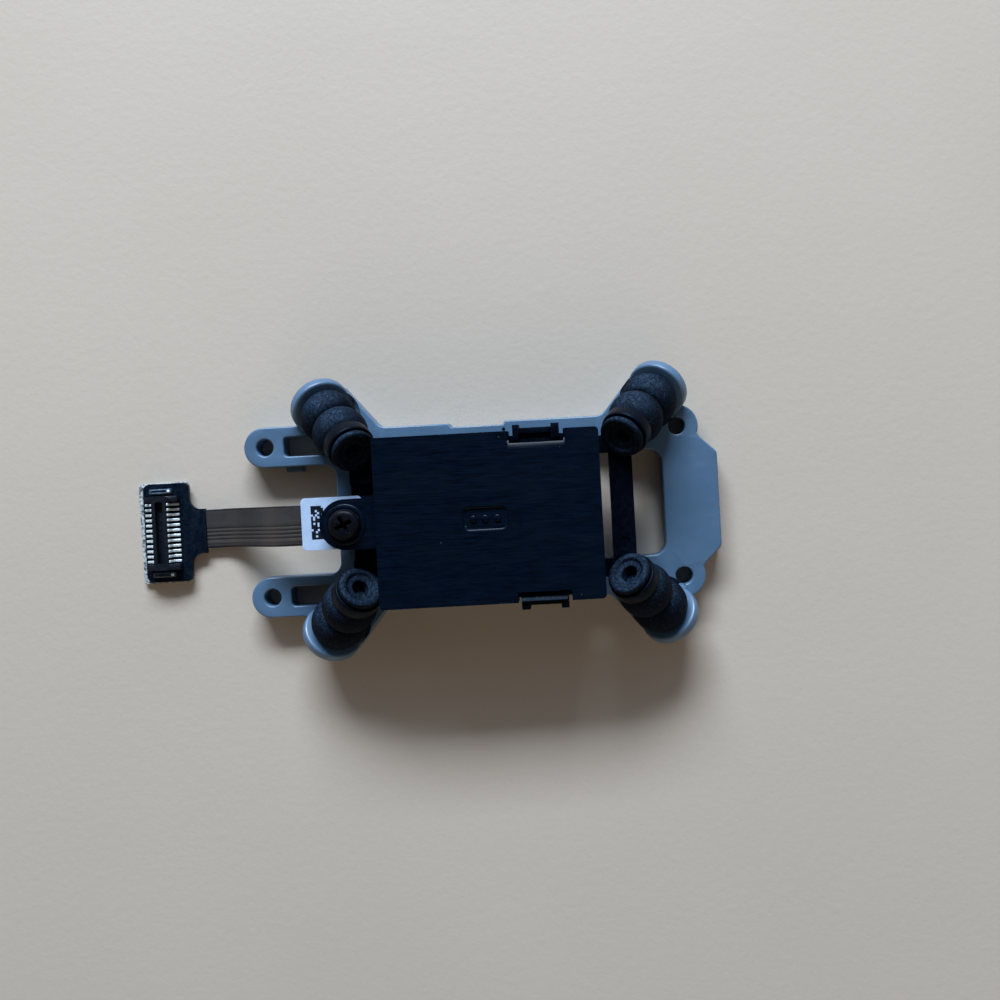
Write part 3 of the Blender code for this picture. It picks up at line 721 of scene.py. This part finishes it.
def half_outline(notched):
    """Back half of the outline, from the left end to the right."""
    # left ear
    points = [(-12.05, 3.30)]
    points += arc(-12.95, HOLE_Y - LEFT_EAR_R - EAR_FILLET, EAR_FILLET, 0, 90, 10)[1:]
    points += arc(FRAME_LEFT + LEFT_EAR_R, HOLE_Y, LEFT_EAR_R, 270, 90, 36)
    # left lug and the sweep down to the long edge
    points += [(-15.20, HOLE_Y + LEFT_EAR_R), (-LUG_X - LUG_HALF, 7.42), (-LUG_X + LUG_HALF, 10.12)]
    sweep = [(-8.90, 7.34), (-8.72, 7.13), (-8.50, 6.97), (-8.20, 6.87), (-7.9, EDGE_Y)]
    points += sweep
    if notched:
        points += [(-3.20, EDGE_Y), (-3.05, NOTCH_Y), (0.90, NOTCH_Y), (1.05, EDGE_Y)]
    points += [(-x, y) for x, y in reversed(sweep)]
    # right lug, right ear and end plate
    points += [(LUG_X - LUG_HALF, 10.12), (LUG_X + LUG_HALF, 7.30)]
    points += arc(RIGHT_HOLE_X, HOLE_Y, RIGHT_EAR_R, 72, -22, 20)
    points += [(15.84, 4.96), (15.97, 4.79), (16.10, 4.66), (17.02, 3.80), (17.12, 3.68),
               (17.18, 3.54), (FRAME_RIGHT, 3.40)]
    return points


half_window = arc(11.95, 3.05, 1.0, 0, 90, 12) + [(9.0, 4.05)]
half_window += arc(9.0, 4.65, 0.60, 270, 180, 8)
half_window += arc(7.60, 4.50, 0.80, 0, 90, 10) + arc(-8.60, 4.30, 1.00, 90, 180, 12)
ear_slot = rounded_rect(-15.95, -12.60, 5.00, 6.48, 0.30, 6)
frame_loops = [half_outline(notched=True) + mirrored(half_outline(notched=False)),
               half_window + mirrored(half_window), ear_slot, mirrored(ear_slot)]
for hole_x in (LEFT_HOLE_X, RIGHT_HOLE_X):
    for sy in (1, -1):
        frame_loops.append(circle(hole_x, sy * HOLE_Y, HOLE_R, 64))

# (radius, height) of the disc in each lug, about the seat axis
LUG_DISC = [(0, 0.40), (2.10, 0.40), (2.20, 0.385), (2.27, 0.33), (2.30, 0.24),
            (2.30, -0.24), (2.27, -0.33), (2.20, -0.385), (2.10, -0.40), (0, -0.40)]

body = slab("frame_plate", frame_loops, 0.0, 1.90, top=0.13, low=0.10, steps=4, material=FRAME)
join(body, slab("peg", [rounded_rect(-16.05, -14.75, 3.78, 4.60, 0.12, 4)], 0.12, 1.05,
                top=0.08, low=0.08))
for seat in SEATS.values():
    cut(body, seat_rod(seat, radius=2.56, z0=0.37, z1=9.0, sides=96))
for seat in SEATS.values():
    disc = turned("disc", LUG_DISC, sides=96)
    # a slight turn keeps the disc's sides off those of the scoop round it
    disc.data.transform(seat @ Matrix.Rotation(math.radians(1.3), 4, "Z"))
    join(body, disc)
for seat in SEATS.values():
    cut(body, seat_rod(seat, radius=1.92, z0=-5.0, z1=-0.35, sides=72),
        seat_rod(seat, radius=1.26, z0=-3.0, z1=3.0, sides=56))
# small round pit in front of the notch
cut(body, rod(0.96, 6.20, radius=0.14, z0=1.55, z1=2.4, sides=20))
bake(body)
body.name = "isolation_frame_body"
finish(body, "frame", "isolation_frame")


# =====================================================================
# rubber bellows: each is two solids that meet in the middle groove
# =====================================================================
def lobe(middle, half, base, crest):
    """A rounded bulge from middle + half down to middle - half."""
    angles = [math.pi / 2 - math.pi * i / 18 for i in range(19)]
    return [(base + (crest - base) * max(0.0, math.cos(a)) ** 0.95, middle + half * math.sin(a))
            for a in angles]


GROOVE, GROOVE_GAP = 2.95, 0.02          # height of the groove, and half the gap in it

# (radius, height) about the seat axis, from the top down
UPPER_BELLOWS = [
    (0, 5.84), (0.40, 5.84), (0.52, 5.88), (0.57, 5.98), (0.60, 6.68), (0.64, 6.76),
    (0.71, 6.79), (0.96, 6.79), (1.04, 6.81), (1.10, 6.87), (1.16, 6.96), (1.24, 6.99),
    (1.42, 6.99), (1.52, 6.965), (1.60, 6.90), (1.645, 6.80), (1.65, 6.66), (1.62, 6.55),
    (1.54, 6.475), (1.42, 6.45), (1.02, 6.44), (0.97, 6.40), (0.97, 5.46), (1.00, 5.42),
    (1.10, 5.40),
    *lobe(middle=4.17, half=1.20, base=1.30, crest=2.05)[1:],
    (1.26, GROOVE + GROOVE_GAP), (0, GROOVE + GROOVE_GAP)]
LOWER_BELLOWS = [
    (0, GROOVE - GROOVE_GAP), (1.26, GROOVE - GROOVE_GAP),
    *lobe(middle=1.69, half=1.22, base=1.32, crest=2.10),
    (1.24, 0.455), (1.20, 0.42), (1.20, -0.39), (1.24, -0.425), (1.55, -0.44), (1.68, -0.47),
    (1.745, -0.56), (1.75, -0.70), (1.72, -0.86), (1.64, -0.96), (1.50, -1.01), (0, -1.02)]

for corner, seat in SEATS.items():
    lower = turned("damper_%s_lower" % corner, LOWER_BELLOWS, 80, RUBBER)
    upper = turned("damper_%s_upper" % corner, UPPER_BELLOWS, 80, RUBBER)
    for half in (lower, upper):
        half.data.transform(seat)
        finish(half, None, "damper_" + corner, smooth=60)
    for half, start_body, end_body, start, end in (
        (lower, "frame", "dampers", 0.45, 2.90),
        (upper, "dampers", "module", 3.00, 5.42),
    ):
        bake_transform(half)

# =====================================================================
# carrier tray
# =====================================================================
CASE_Y, CASE_HALF = -0.38, 6.15                # the case's middle and half depth, along Y
CASE_LEFT, CASE_RIGHT = -8.25, 8.00
TAB_X, TAB_Y, TAB_R = -10.55, -0.30, 1.83      # the cover's screw tab
TONGUE_Y, TONGUE_X = -0.20, -14.10             # the label's tongue: middle and left end

# x0, x1, y0, y1, z0, z1
SIDE_RAILS = (
    (8.75, 10.45, -5.50, 5.50, 4.10, 5.15),    # right rail
    (7.30, 9.60, 3.90, 5.20, 4.18, 5.08),      # its webs to the case, back and front
    (7.30, 9.60, -5.25, -3.90, 4.18, 5.08),
    (-10.45, -8.75, -5.50, 5.50, 3.40, 4.42),  # left rail
    (-10.40, -8.80, 2.55, 5.45, 3.50, 5.15),   # its raised ends, back and front
    (-10.40, -8.80, -5.45, -3.05, 3.50, 5.15),
    (-9.60, -7.50, 3.90, 5.20, 3.58, 5.08),    # its webs: back, front and middle
    (-9.60, -7.50, -5.25, -3.90, 3.58, 5.08),
    (-9.30, -7.50, -4.30, 4.30, 3.48, 4.35),
)
CLIPS = (
    (1.90, 2.50, -7.07, -5.92, 5.20, 7.46),    # front clip: left post, right post, web
    (4.74, 5.29, -7.07, -5.92, 5.20, 7.46),
    (2.08, 5.14, -6.80, -6.28, 5.40, 7.12),
    (1.85, 2.32, 5.12, 6.20, 5.20, 7.25),      # back clip: left post, right post, bar, web
    (4.62, 5.20, 5.12, 6.20, 5.20, 7.25),
    (2.10, 4.85, 5.56, 5.96, 6.60, 7.15),
    (2.05, 4.90, 5.22, 5.86, 5.30, 6.42),
)
# (y, z) of the front clip's sloped top bar
CLIP_BAR = [(-6.50, 6.95), (-5.91, 6.95), (-5.91, 7.345), (-6.14, 7.490), (-6.44, 7.645),
            (-6.50, 7.640)]
# (radius, height) about the seat axis of the ring that holds each bellows' head
HEAD_RING = [(0, 6.40), (1.66, 6.40), (1.74, 6.375), (1.785, 6.32), (1.80, 6.24), (1.80, 5.0),
             (0, 5.0)]

tray = block(CASE_LEFT + 0.30, CASE_RIGHT - 0.30, CASE_Y - 5.82, CASE_Y + 5.83, 3.10, 6.90,
             name="carrier_tray_shell", material=TRAY)
join(tray, slab("tub", [rounded_rect(-7.50, 7.20, -4.20, 4.20, 0.5, 6)], 1.20, 3.35, low=0.20))
join(tray, *[block(*bounds) for bounds in SIDE_RAILS])
join(tray, rod(TAB_X, TAB_Y, radius=1.72, z0=3.12, z1=4.54, sides=64))      # screw boss
join(tray, *[block(*bounds) for bounds in CLIPS])
join(tray, bar(CLIP_BAR, 1.93, 5.20))
for seat in SEATS.values():
    ring = turned("ring", HEAD_RING, sides=80)
    ring.data.transform(seat)
    join(tray, ring)
for seat in SEATS.values():
    cut(tray, seat_rod(seat, radius=2.32, z0=-2.0, z1=5.45, sides=64),
        seat_rod(seat, radius=1.02, z0=4.0, z1=8.5, sides=56))
cut(tray,
    block(-7.35, 7.10, -5.60, 4.85, 4.55, 8.0),                             # upper cavity
    block(-6.90, 6.60, -3.60, 3.60, 1.80, 5.0),                             # lower cavity
    block(-9.0, -7.0, TONGUE_Y - 2.0, TONGUE_Y + 2.0, 4.48, 8.0),           # left opening
    rod(TAB_X, TAB_Y, radius=0.66, z0=3.42, z1=6.0, sides=40),              # screw bore
    rod(9.58, -2.84, radius=0.50, z0=5.07, z1=6.0, sides=40))               # right rail's pit
bake(tray)
soften(tray, width=0.055)
finish(tray, "module", "carrier_tray")

# =====================================================================
# top cover
# =====================================================================
COVER_TOP = 7.80
# (y, z) of the sloped cut along the back notch's inner edge
LIP_CUT = [(4.38, 7.815), (4.38, 8.40), (6.5, 8.40), (6.5, 7.30), (5.10, 7.30), (5.10, 7.440)]
# (radius, height) of the low ring round the screw hole, and of one pip
TAB_RING = [(0, 7.13), (1.34, 7.13), (1.40, 7.125), (1.46, 7.10), (1.50, 7.05), (1.51, 6.90),
            (0, 6.90)]
PIP = [(0, 7.735), (0.16, 7.735), (0.22, 7.72), (0.25, 7.68), (0.26, 7.615), (0, 7.615)]
PIP_PITCH = 0.86
RECESS_X0, RECESS_X1, RECESS_HALF = -2.00, 1.24, 0.89

case_outline = rounded_rect(CASE_LEFT, CASE_RIGHT, CASE_Y - CASE_HALF, CASE_Y + CASE_HALF, 0.30, 6)
cover = slab("top_cover_shell", [case_outline], 5.90, COVER_TOP, material=COVER)
tab_outline = [(-7.99, TAB_Y - TAB_R), (-7.99, TAB_Y + TAB_R)]
tab_outline += arc(TAB_X, TAB_Y, TAB_R, 90, 270, 48)
join(cover, slab("tab", [tab_outline], 5.36, 7.02))
tab_ring = turned("tab_ring", TAB_RING)
tab_ring.data.transform(Matrix.Translation((TAB_X, TAB_Y, 0)))
join(cover, tab_ring)
recess = rounded_rect(RECESS_X0, RECESS_X1, CASE_Y - RECESS_HALF, CASE_Y + RECESS_HALF, 0.47, 12)
cut(cover,
    block(CASE_LEFT + 0.27, CASE_RIGHT - 0.27, CASE_Y - 5.85, CASE_Y + 5.86, 5.0, 7.15),  # hollow
    block(1.68, 5.54, -8.0, -5.78, 5.0, 9.0),                               # front notch
    block(1.56, 5.48, 4.88, 8.0, 5.0, 9.0),                                 # back notch
    bar(LIP_CUT, 1.45, 5.59),
    slab("recess", [recess], 7.60, 8.6, low=0.20, steps=6),
    rod(TAB_X, TAB_Y, radius=0.72, z0=5.0, z1=8.0, sides=40),               # screw bore
    rod(TAB_X, TAB_Y, radius=1.22, z0=7.035, z1=8.0, sides=64))             # screw head's seat
for seat in SEATS.values():
    cut(cover, seat_rod(seat, radius=1.74, z0=5.2, z1=7.16, sides=56))
bake(cover)
bm = bmesh.new()
bm.from_mesh(cover.data)
bmesh.ops.remove_doubles(bm, verts=bm.verts, dist=0.002)
bmesh.ops.dissolve_degenerate(bm, dist=0.002, edges=bm.edges)
bm.to_mesh(cover.data)
bm.free()
finish(cover, "module", "top_cover")

# three plain pips stand in the recess
for i in range(3):
    pip = turned("recess_pip_%d" % (i + 1), PIP, 32, COVER)
    pip_x = (RECESS_X0 + RECESS_X1) / 2 + (i - 1) * PIP_PITCH
    pip.data.transform(Matrix.Translation((pip_x, CASE_Y, 0)))
    finish(pip, "module", smooth=60)

# =====================================================================
# cover screw
# =====================================================================
# (radius, height) from the top of the head to the tip
SCREW_PROFILE = [
    (0, 7.785), (0.50, 7.780), (0.80, 7.755), (0.96, 7.70), (1.07, 7.58), (1.13, 7.40),
    (1.148, 7.24), (1.15, 7.10), (1.12, 7.055), (0.62, 7.05), (0.60, 7.0), (0.60, 3.72),
    (0.42, 3.50), (0, 3.50)]
# half width of an arm, its reach, height
CROSS_LEVELS = ((0.10, 0.14, 7.02), (0.15, 0.62, 7.62), (0.17, 0.74, 8.2))


def cross_tool():
    """The tapered cross that cuts the drive recess."""
    bm = bmesh.new()
    rings = []
    for w, l, z in CROSS_LEVELS:
        corners = [(w, w), (w, l), (-w, l), (-w, w), (-l, w), (-l, -w),
                   (-w, -w), (-w, -l), (w, -l), (w, -w), (l, -w), (l, w)]
        rings.append([bm.verts.new((x, y, z)) for x, y in corners])
    for below, above in zip(rings, rings[1:]):
        for i in range(12):
            j = (i + 1) % 12
            bm.faces.new((below[i], below[j], above[j], above[i]))
    bm.faces.new(rings[0][::-1])
    bm.faces.new(rings[-1])
    bmesh.ops.recalc_face_normals(bm, faces=bm.faces)
    o = add_object("cross", bm)
    o.data.transform(Matrix.Rotation(math.radians(24), 4, "Z"))
    return o


screw = turned("cover_screw_head", SCREW_PROFILE, material=SCREW)
cut(screw, cross_tool())
bake(screw)
soften(screw, width=0.02, angle=40)
screw.data.transform(Matrix.Translation((TAB_X, TAB_Y, 0)))
finish(screw, "module", "cover_screw", smooth=40)

# =====================================================================
# label, board and the parts inside
# =====================================================================
label_outline = rounded_rect(TONGUE_X + 0.02, -9.60, TONGUE_Y - 1.92, TONGUE_Y + 1.92, 0.30, 8)
label = slab("id_label_film", [label_outline, circle(TAB_X, TAB_Y, 0.80, 40)], 5.22, 5.30,
             top=0.02, steps=2, material=LABEL)
finish(label, "module", "id_label")

ROUNDED_CHIPS = ["microcontroller", "imu_sensor_primary", "imu_sensor_backup", "voltage_regulator"]
PART_MATERIALS = (
    (SOLDERMASK, ["main_board"]),
    (CHIP, ROUNDED_CHIPS + ["heater_resistor_%d" % i for i in range(1, 5)]),
    (CERAMIC, ["capacitor_%d" % i for i in range(1, 7)]),
    (CAN, ["crystal"]),
    (GEL, ["thermal_pad"]),
    (ZINC, ["ballast_plate"]),
)
for material, names in PART_MATERIALS:
    for name in names:
        slots = nodes[name].data.materials
        slots.clear()
        slots.append(material)
for name in ROUNDED_CHIPS + ["crystal", "ballast_plate", "thermal_pad"]:
    bevel = nodes[name].modifiers.new("edge", "BEVEL")
    bevel.width = 0.00006
    bevel.segments = 2
    bevel.limit_method = "ANGLE"

# =====================================================================
# flexible ribbon, in two halves that meet half way down
# =====================================================================
RIBBON_HIGH, RIBBON_LOW = 4.90, 0.56           # heights at its two ends
DROP_START, DROP_END = -14.90, -21.40          # X where the descent starts and ends
RIBBON_START, RIBBON_MIDDLE, RIBBON_END = TONGUE_X - 0.03, -18.40, -22.57
OVERLAP = 0.006
STEPS_ALONG, STEPS_ACROSS = 40, 90
TOP_HALF, LOW_HALF, RIDGE_HEIGHT = 0.045, 0.055, 0.014
# trace centre and half width, as shares of the ribbon's width
RIDGES = [(0.160, 0.035), (0.265, 0.020), (0.365, 0.020), (0.460, 0.020), (0.74, 0.20)]


def ribbon_height(x):
    t = min(1.0, max(0.0, (x - DROP_START) / (DROP_END - DROP_START)))
    return RIBBON_HIGH + (RIBBON_LOW - RIBBON_HIGH) * t * t * (3.0 - 2.0 * t)


def ridge(share):
    """1 on a trace, 0 between traces, with sloped flanks."""
    height = 0.0
    for centre, half_width in RIDGES:
        distance = abs(share - centre) / half_width
        if distance < 1.3:
            height = max(height, 1.0 if distance < 0.8 else (1.3 - distance) / 0.5)
    return height


def ribbon(name, x0, x1):
    bm = bmesh.new()
    n, across = STEPS_ALONG, STEPS_ACROSS
    top, low = [], []
    for i in range(n + 1):
        x = x0 + (x1 - x0) * i / n
        slope = (ribbon_height(x + 0.01) - ribbon_height(x - 0.01)) / 0.02
        length = math.hypot(1, slope)
        normal_x, normal_z = -slope / length, 1 / length
        z = ribbon_height(x)
        top_row, low_row = [], []
        for j in range(across + 1):
            share = j / across
            y = TAIL_Y - RIBBON_HALF + 2 * RIBBON_HALF * share
            half = TOP_HALF + RIDGE_HEIGHT * ridge(share)
            if min(share, 1 - share) * 2 * RIBBON_HALF < 0.03:      # thinner at the very edges
                half *= 0.55
            top_row.append(bm.verts.new((x + normal_x * half, y, z + normal_z * half)))
            low_row.append(bm.verts.new((x - normal_x * LOW_HALF, y, z - normal_z * LOW_HALF)))
        top.append(top_row)
        low.append(low_row)
    for i in range(n):
        for j in range(across):
            bm.faces.new((top[i][j], top[i + 1][j], top[i + 1][j + 1], top[i][j + 1]))
            bm.faces.new((low[i][j], low[i][j + 1], low[i + 1][j + 1], low[i + 1][j]))
        bm.faces.new((top[i][0], low[i][0], low[i + 1][0], top[i + 1][0]))
        bm.faces.new((top[i][across], top[i + 1][across], low[i + 1][across], low[i][across]))
    for i in (0, n):
        for j in range(across):
            face = (top[i][j], top[i][j + 1], low[i][j + 1], low[i][j])
            bm.faces.new(face if i == 0 else face[::-1])
    bmesh.ops.recalc_face_normals(bm, faces=bm.faces)
    return add_object(name, bm, RIBBON)


root_half = ribbon("flex_ribbon_root", RIBBON_START, RIBBON_MIDDLE + OVERLAP)
tip_half = ribbon("flex_ribbon_tip", RIBBON_MIDDLE - OVERLAP, RIBBON_END)
for half in (root_half, tip_half):
    finish(half, None, "flex_ribbon", smooth=60)
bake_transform(root_half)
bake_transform(tip_half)

# =====================================================================
# connector board and stiffener
# =====================================================================
CONN_Y = -0.38
BOARD_LEFT, BOARD_RIGHT, BOARD_HALF = -27.35, -23.80, 3.82
NECK_HALF, NECK_FILLET = 1.72, 0.85            # the neck that meets the ribbon
RIGHT_R, LEFT_R = 0.42, 0.52                   # corner radii

half_board = [(-22.60, CONN_Y + NECK_HALF)]
half_board += arc(-22.95, CONN_Y + NECK_HALF + NECK_FILLET, NECK_FILLET, 270, 180, 12)
half_board += arc(BOARD_RIGHT - RIGHT_R, CONN_Y + BOARD_HALF - RIGHT_R, RIGHT_R, 0, 90, 10)
half_board += arc(BOARD_LEFT + LEFT_R, CONN_Y + BOARD_HALF - LEFT_R, LEFT_R, 90, 180, 12)
board = slab("connector_board_body", [half_board + mirrored(half_board, CONN_Y)], 0.36, 0.76,
             top=0.03, low=0.02, steps=2, material=SOLDERMASK)
finish(board, "connector_head", "connector_board")

stiffener = slab("flex_stiffener_plate", [rounded_rect(-1.92, 1.92, -3.90, 3.90, 0.20, 8)],
                 0.02, 0.32, top=0.03, low=0.02, steps=2, material=STIFFENER)
stiffener.data.transform(Matrix.Translation((-25.86, CONN_Y - 0.02, 0))
                         @ Matrix.Rotation(math.radians(0.7), 4, "Z"))
finish(stiffener, "connector_head", "flex_stiffener")

# =====================================================================
# connector housing and hold-downs
# =====================================================================
HOUSING_LOW, HOUSING_TOP = 0.79, 1.66

housing = slab("connector_housing_body",
               [rounded_rect(-26.42, -25.32, CONN_Y - 2.87, CONN_Y + 2.87, 0.12, 4)],
               HOUSING_LOW, HOUSING_TOP, material=HOUSING)
for sy in (1, -1):              # wider end blocks
    y = CONN_Y + sy * 2.62
    join(housing, block(-27.02, -24.50, y - 0.22, y + 0.22, HOUSING_LOW + 0.02, HOUSING_TOP - 0.05))
groove = rounded_rect(-26.17, -25.57, CONN_Y - 2.42, CONN_Y + 2.42, 0.12, 4)
cut(housing, slab("groove", [groove], 1.12, 2.4))
bake(housing)
soften(housing, width=0.035)
finish(housing, "connector_head", "connector_housing")

# (radius, height) of the bright end of a strip, where it was sheared
STRIP_END = [(0, 0.10), (0.07, 0.09), (0.12, 0.055), (0.14, 0.0), (0.12, -0.03), (0, -0.03)]

for side, sy in (("back", 1), ("front", -1)):
    y = CONN_Y + sy * 3.20
    strip = slab("hold_down_" + side, [rounded_rect(-26.72, -25.00, y - 0.22, y + 0.22, 0.10, 5)],
                 HOUSING_LOW, HOUSING_LOW + 0.42, top=0.09, low=0.02, steps=4, material=HOLD_DOWN)
    dish = rounded_rect(-26.52, -25.42, y - 0.10, y + 0.10, 0.08, 5)
    cut(strip, slab("dish", [dish], HOUSING_LOW + 0.34, HOUSING_LOW + 0.9, low=0.05))
    bake(strip)
    finish(strip, "connector_head", "connector_hold_down_" + side)
    end = turned("hold_down_end_" + side, STRIP_END, 28, CONTACT)
    end.data.transform(Matrix.Translation((-25.20, y, HOUSING_LOW + 0.43)))
    finish(end, "connector_head", smooth=60)

# =====================================================================
# contacts: two rows, each numbered from the back
# =====================================================================
CONTACT_COUNT, CONTACT_PITCH, CONTACT_HALF = 12, 0.40, 0.10
CONTACT_X, CONTACT_THICK = -25.87, 0.13
LEG_INNER, TAIL_END = 0.59, 1.31               # distances from the middle of the two rows


def contact_side(sx):
    """Side outline in XZ of one formed contact: solder tail, bend, upright leg."""
    base, tail_top, leg_top = HOUSING_LOW + 0.01, HOUSING_LOW + 0.01 + CONTACT_THICK, HOUSING_TOP
    leg_outer = LEG_INNER + CONTACT_THICK
    points = [
        (TAIL_END, base), (TAIL_END, tail_top),
        (LEG_INNER + 0.14 + 0.10, tail_top), (LEG_INNER + 0.16, tail_top + 0.05),
        (leg_outer, tail_top + 0.14), (leg_outer, leg_top - 0.10),
        (LEG_INNER + 0.09, leg_top - 0.04), (LEG_INNER, leg_top - 0.04), (LEG_INNER, base)]
    return [(CONTACT_X + sx * distance, z) for distance, z in points]


number = 1
for sx in (-1, 1):
    for i in range(CONTACT_COUNT):
        y = CONN_Y + (CONTACT_COUNT - 1) * CONTACT_PITCH / 2 - i * CONTACT_PITCH
        contact = slab("contact_%02d_formed" % number, [contact_side(sx)],
                       y - CONTACT_HALF, y + CONTACT_HALF, top=0.045, low=0.045,
                       material=CONTACT, upright=True)
        finish(contact, "connector_head", "contact_%02d" % number)
        number += 1

# =====================================================================
# floor (metres from here on)
# =====================================================================
bm = bmesh.new()
bmesh.ops.create_grid(bm, x_segments=2, y_segments=2, size=0.6)
floor = add_object("floor", bm)
floor.location = (0, 0, min(cad_lo.z, 0.0) - 0.00002)      # just under the lowest piece
look = Surface("floor_pale", (0.60, 0.56, 0.52), rough=0.55, specular=0.25)
point = look.coords()
pebble = look.voronoi(point, scale=1.9, feature="SMOOTH_F1")
tint = look.noise(point, scale=0.03, detail=3.0)
look.set("Base Color", look.ramp(tint, [(0.3, (0.528, 0.446, 0.370)), (0.7, (0.552, 0.466, 0.390))]))
look.bump(look.add(pebble, look.noise(point, scale=4.0, detail=3.0)), mm=0.030, strength=0.35)
floor.data.materials.append(look.material)


# =====================================================================
# lights and world
# =====================================================================
def area_light(name, location, size, power, rgb):
    """A rectangular light that points at the origin."""
    light = bpy.data.lights.new(name, "AREA")
    light.shape = "RECTANGLE"
    light.size, light.size_y = size
    light.energy = power
    light.color = rgb
    o = bpy.data.objects.new(name, light)
    scene.collection.objects.link(o)
    o.location = location
    o.rotation_euler = (-Vector(location)).to_track_quat("-Z", "Y").to_euler()


area_light("window", location=(-0.03, 0.36, 0.222), size=(0.29, 0.095), power=3.6,
           rgb=(0.72, 0.855, 1.0))
area_light("fill", location=(0.10, -0.45, 0.30), size=(0.40, 0.30), power=0.34,
           rgb=(1.0, 0.84, 0.68))

world = bpy.data.worlds.new("room")
scene.world = world
world.use_nodes = True
room = Nodes(world.node_tree)
direction = room.texture("Generated")
axes = room.split(direction)
# warm towards the front, cool towards the back, both dark overhead
warm = room.ramp(axes["Z"], [(0.0, (0.35, 0.29, 0.205)), (0.45, (0.28, 0.240, 0.180)),
                             (0.80, (0.085, 0.082, 0.072)), (1.0, (0.014, 0.018, 0.024))])
to_window = Vector((-0.07, 0.85, 0.52)).normalized()
glow = room.dot(direction, to_window)
cool = room.ramp(axes["Z"], [(0.0, (0.20, 0.31, 0.47)), (0.50, (0.17, 0.26, 0.40)),
                             (0.80, (0.060, 0.078, 0.100)), (1.0, (0.014, 0.018, 0.024))])
backness = room.add(room.multiply(axes["Y"], 0.5), 0.5)
walls = room.mix(room.ramp(backness, [(0.52, 0.0), (0.78, 1.0)]), warm, cool)
halo = room.ramp(glow, [(0.72, 0.0), (0.97, 0.85)])
background = world.node_tree.nodes["Background"]
room.feed(background.inputs["Color"], room.mix(halo, walls, (0.26, 0.42, 0.66)))
background.inputs["Strength"].default_value = 1.0

# =====================================================================
# camera: looks straight down, turned a little about Z
# =====================================================================
lens = bpy.data.cameras.new("camera")
lens.lens = 39.6
lens.sensor_width = 36.0
lens.clip_start = 0.002
lens.clip_end = 10.0
lens.shift_x = -0.065
lens.shift_y = -0.020
camera = bpy.data.objects.new("camera", lens)
scene.collection.objects.link(camera)
camera.location = ((5.452 + ROW_SHIFT) * 0.001, 2.05 * 0.001, 0.0862)
camera.rotation_euler = (0, 0, math.radians(-3.1))
scene.camera = camera
scene.view_settings.view_transform = "Standard"
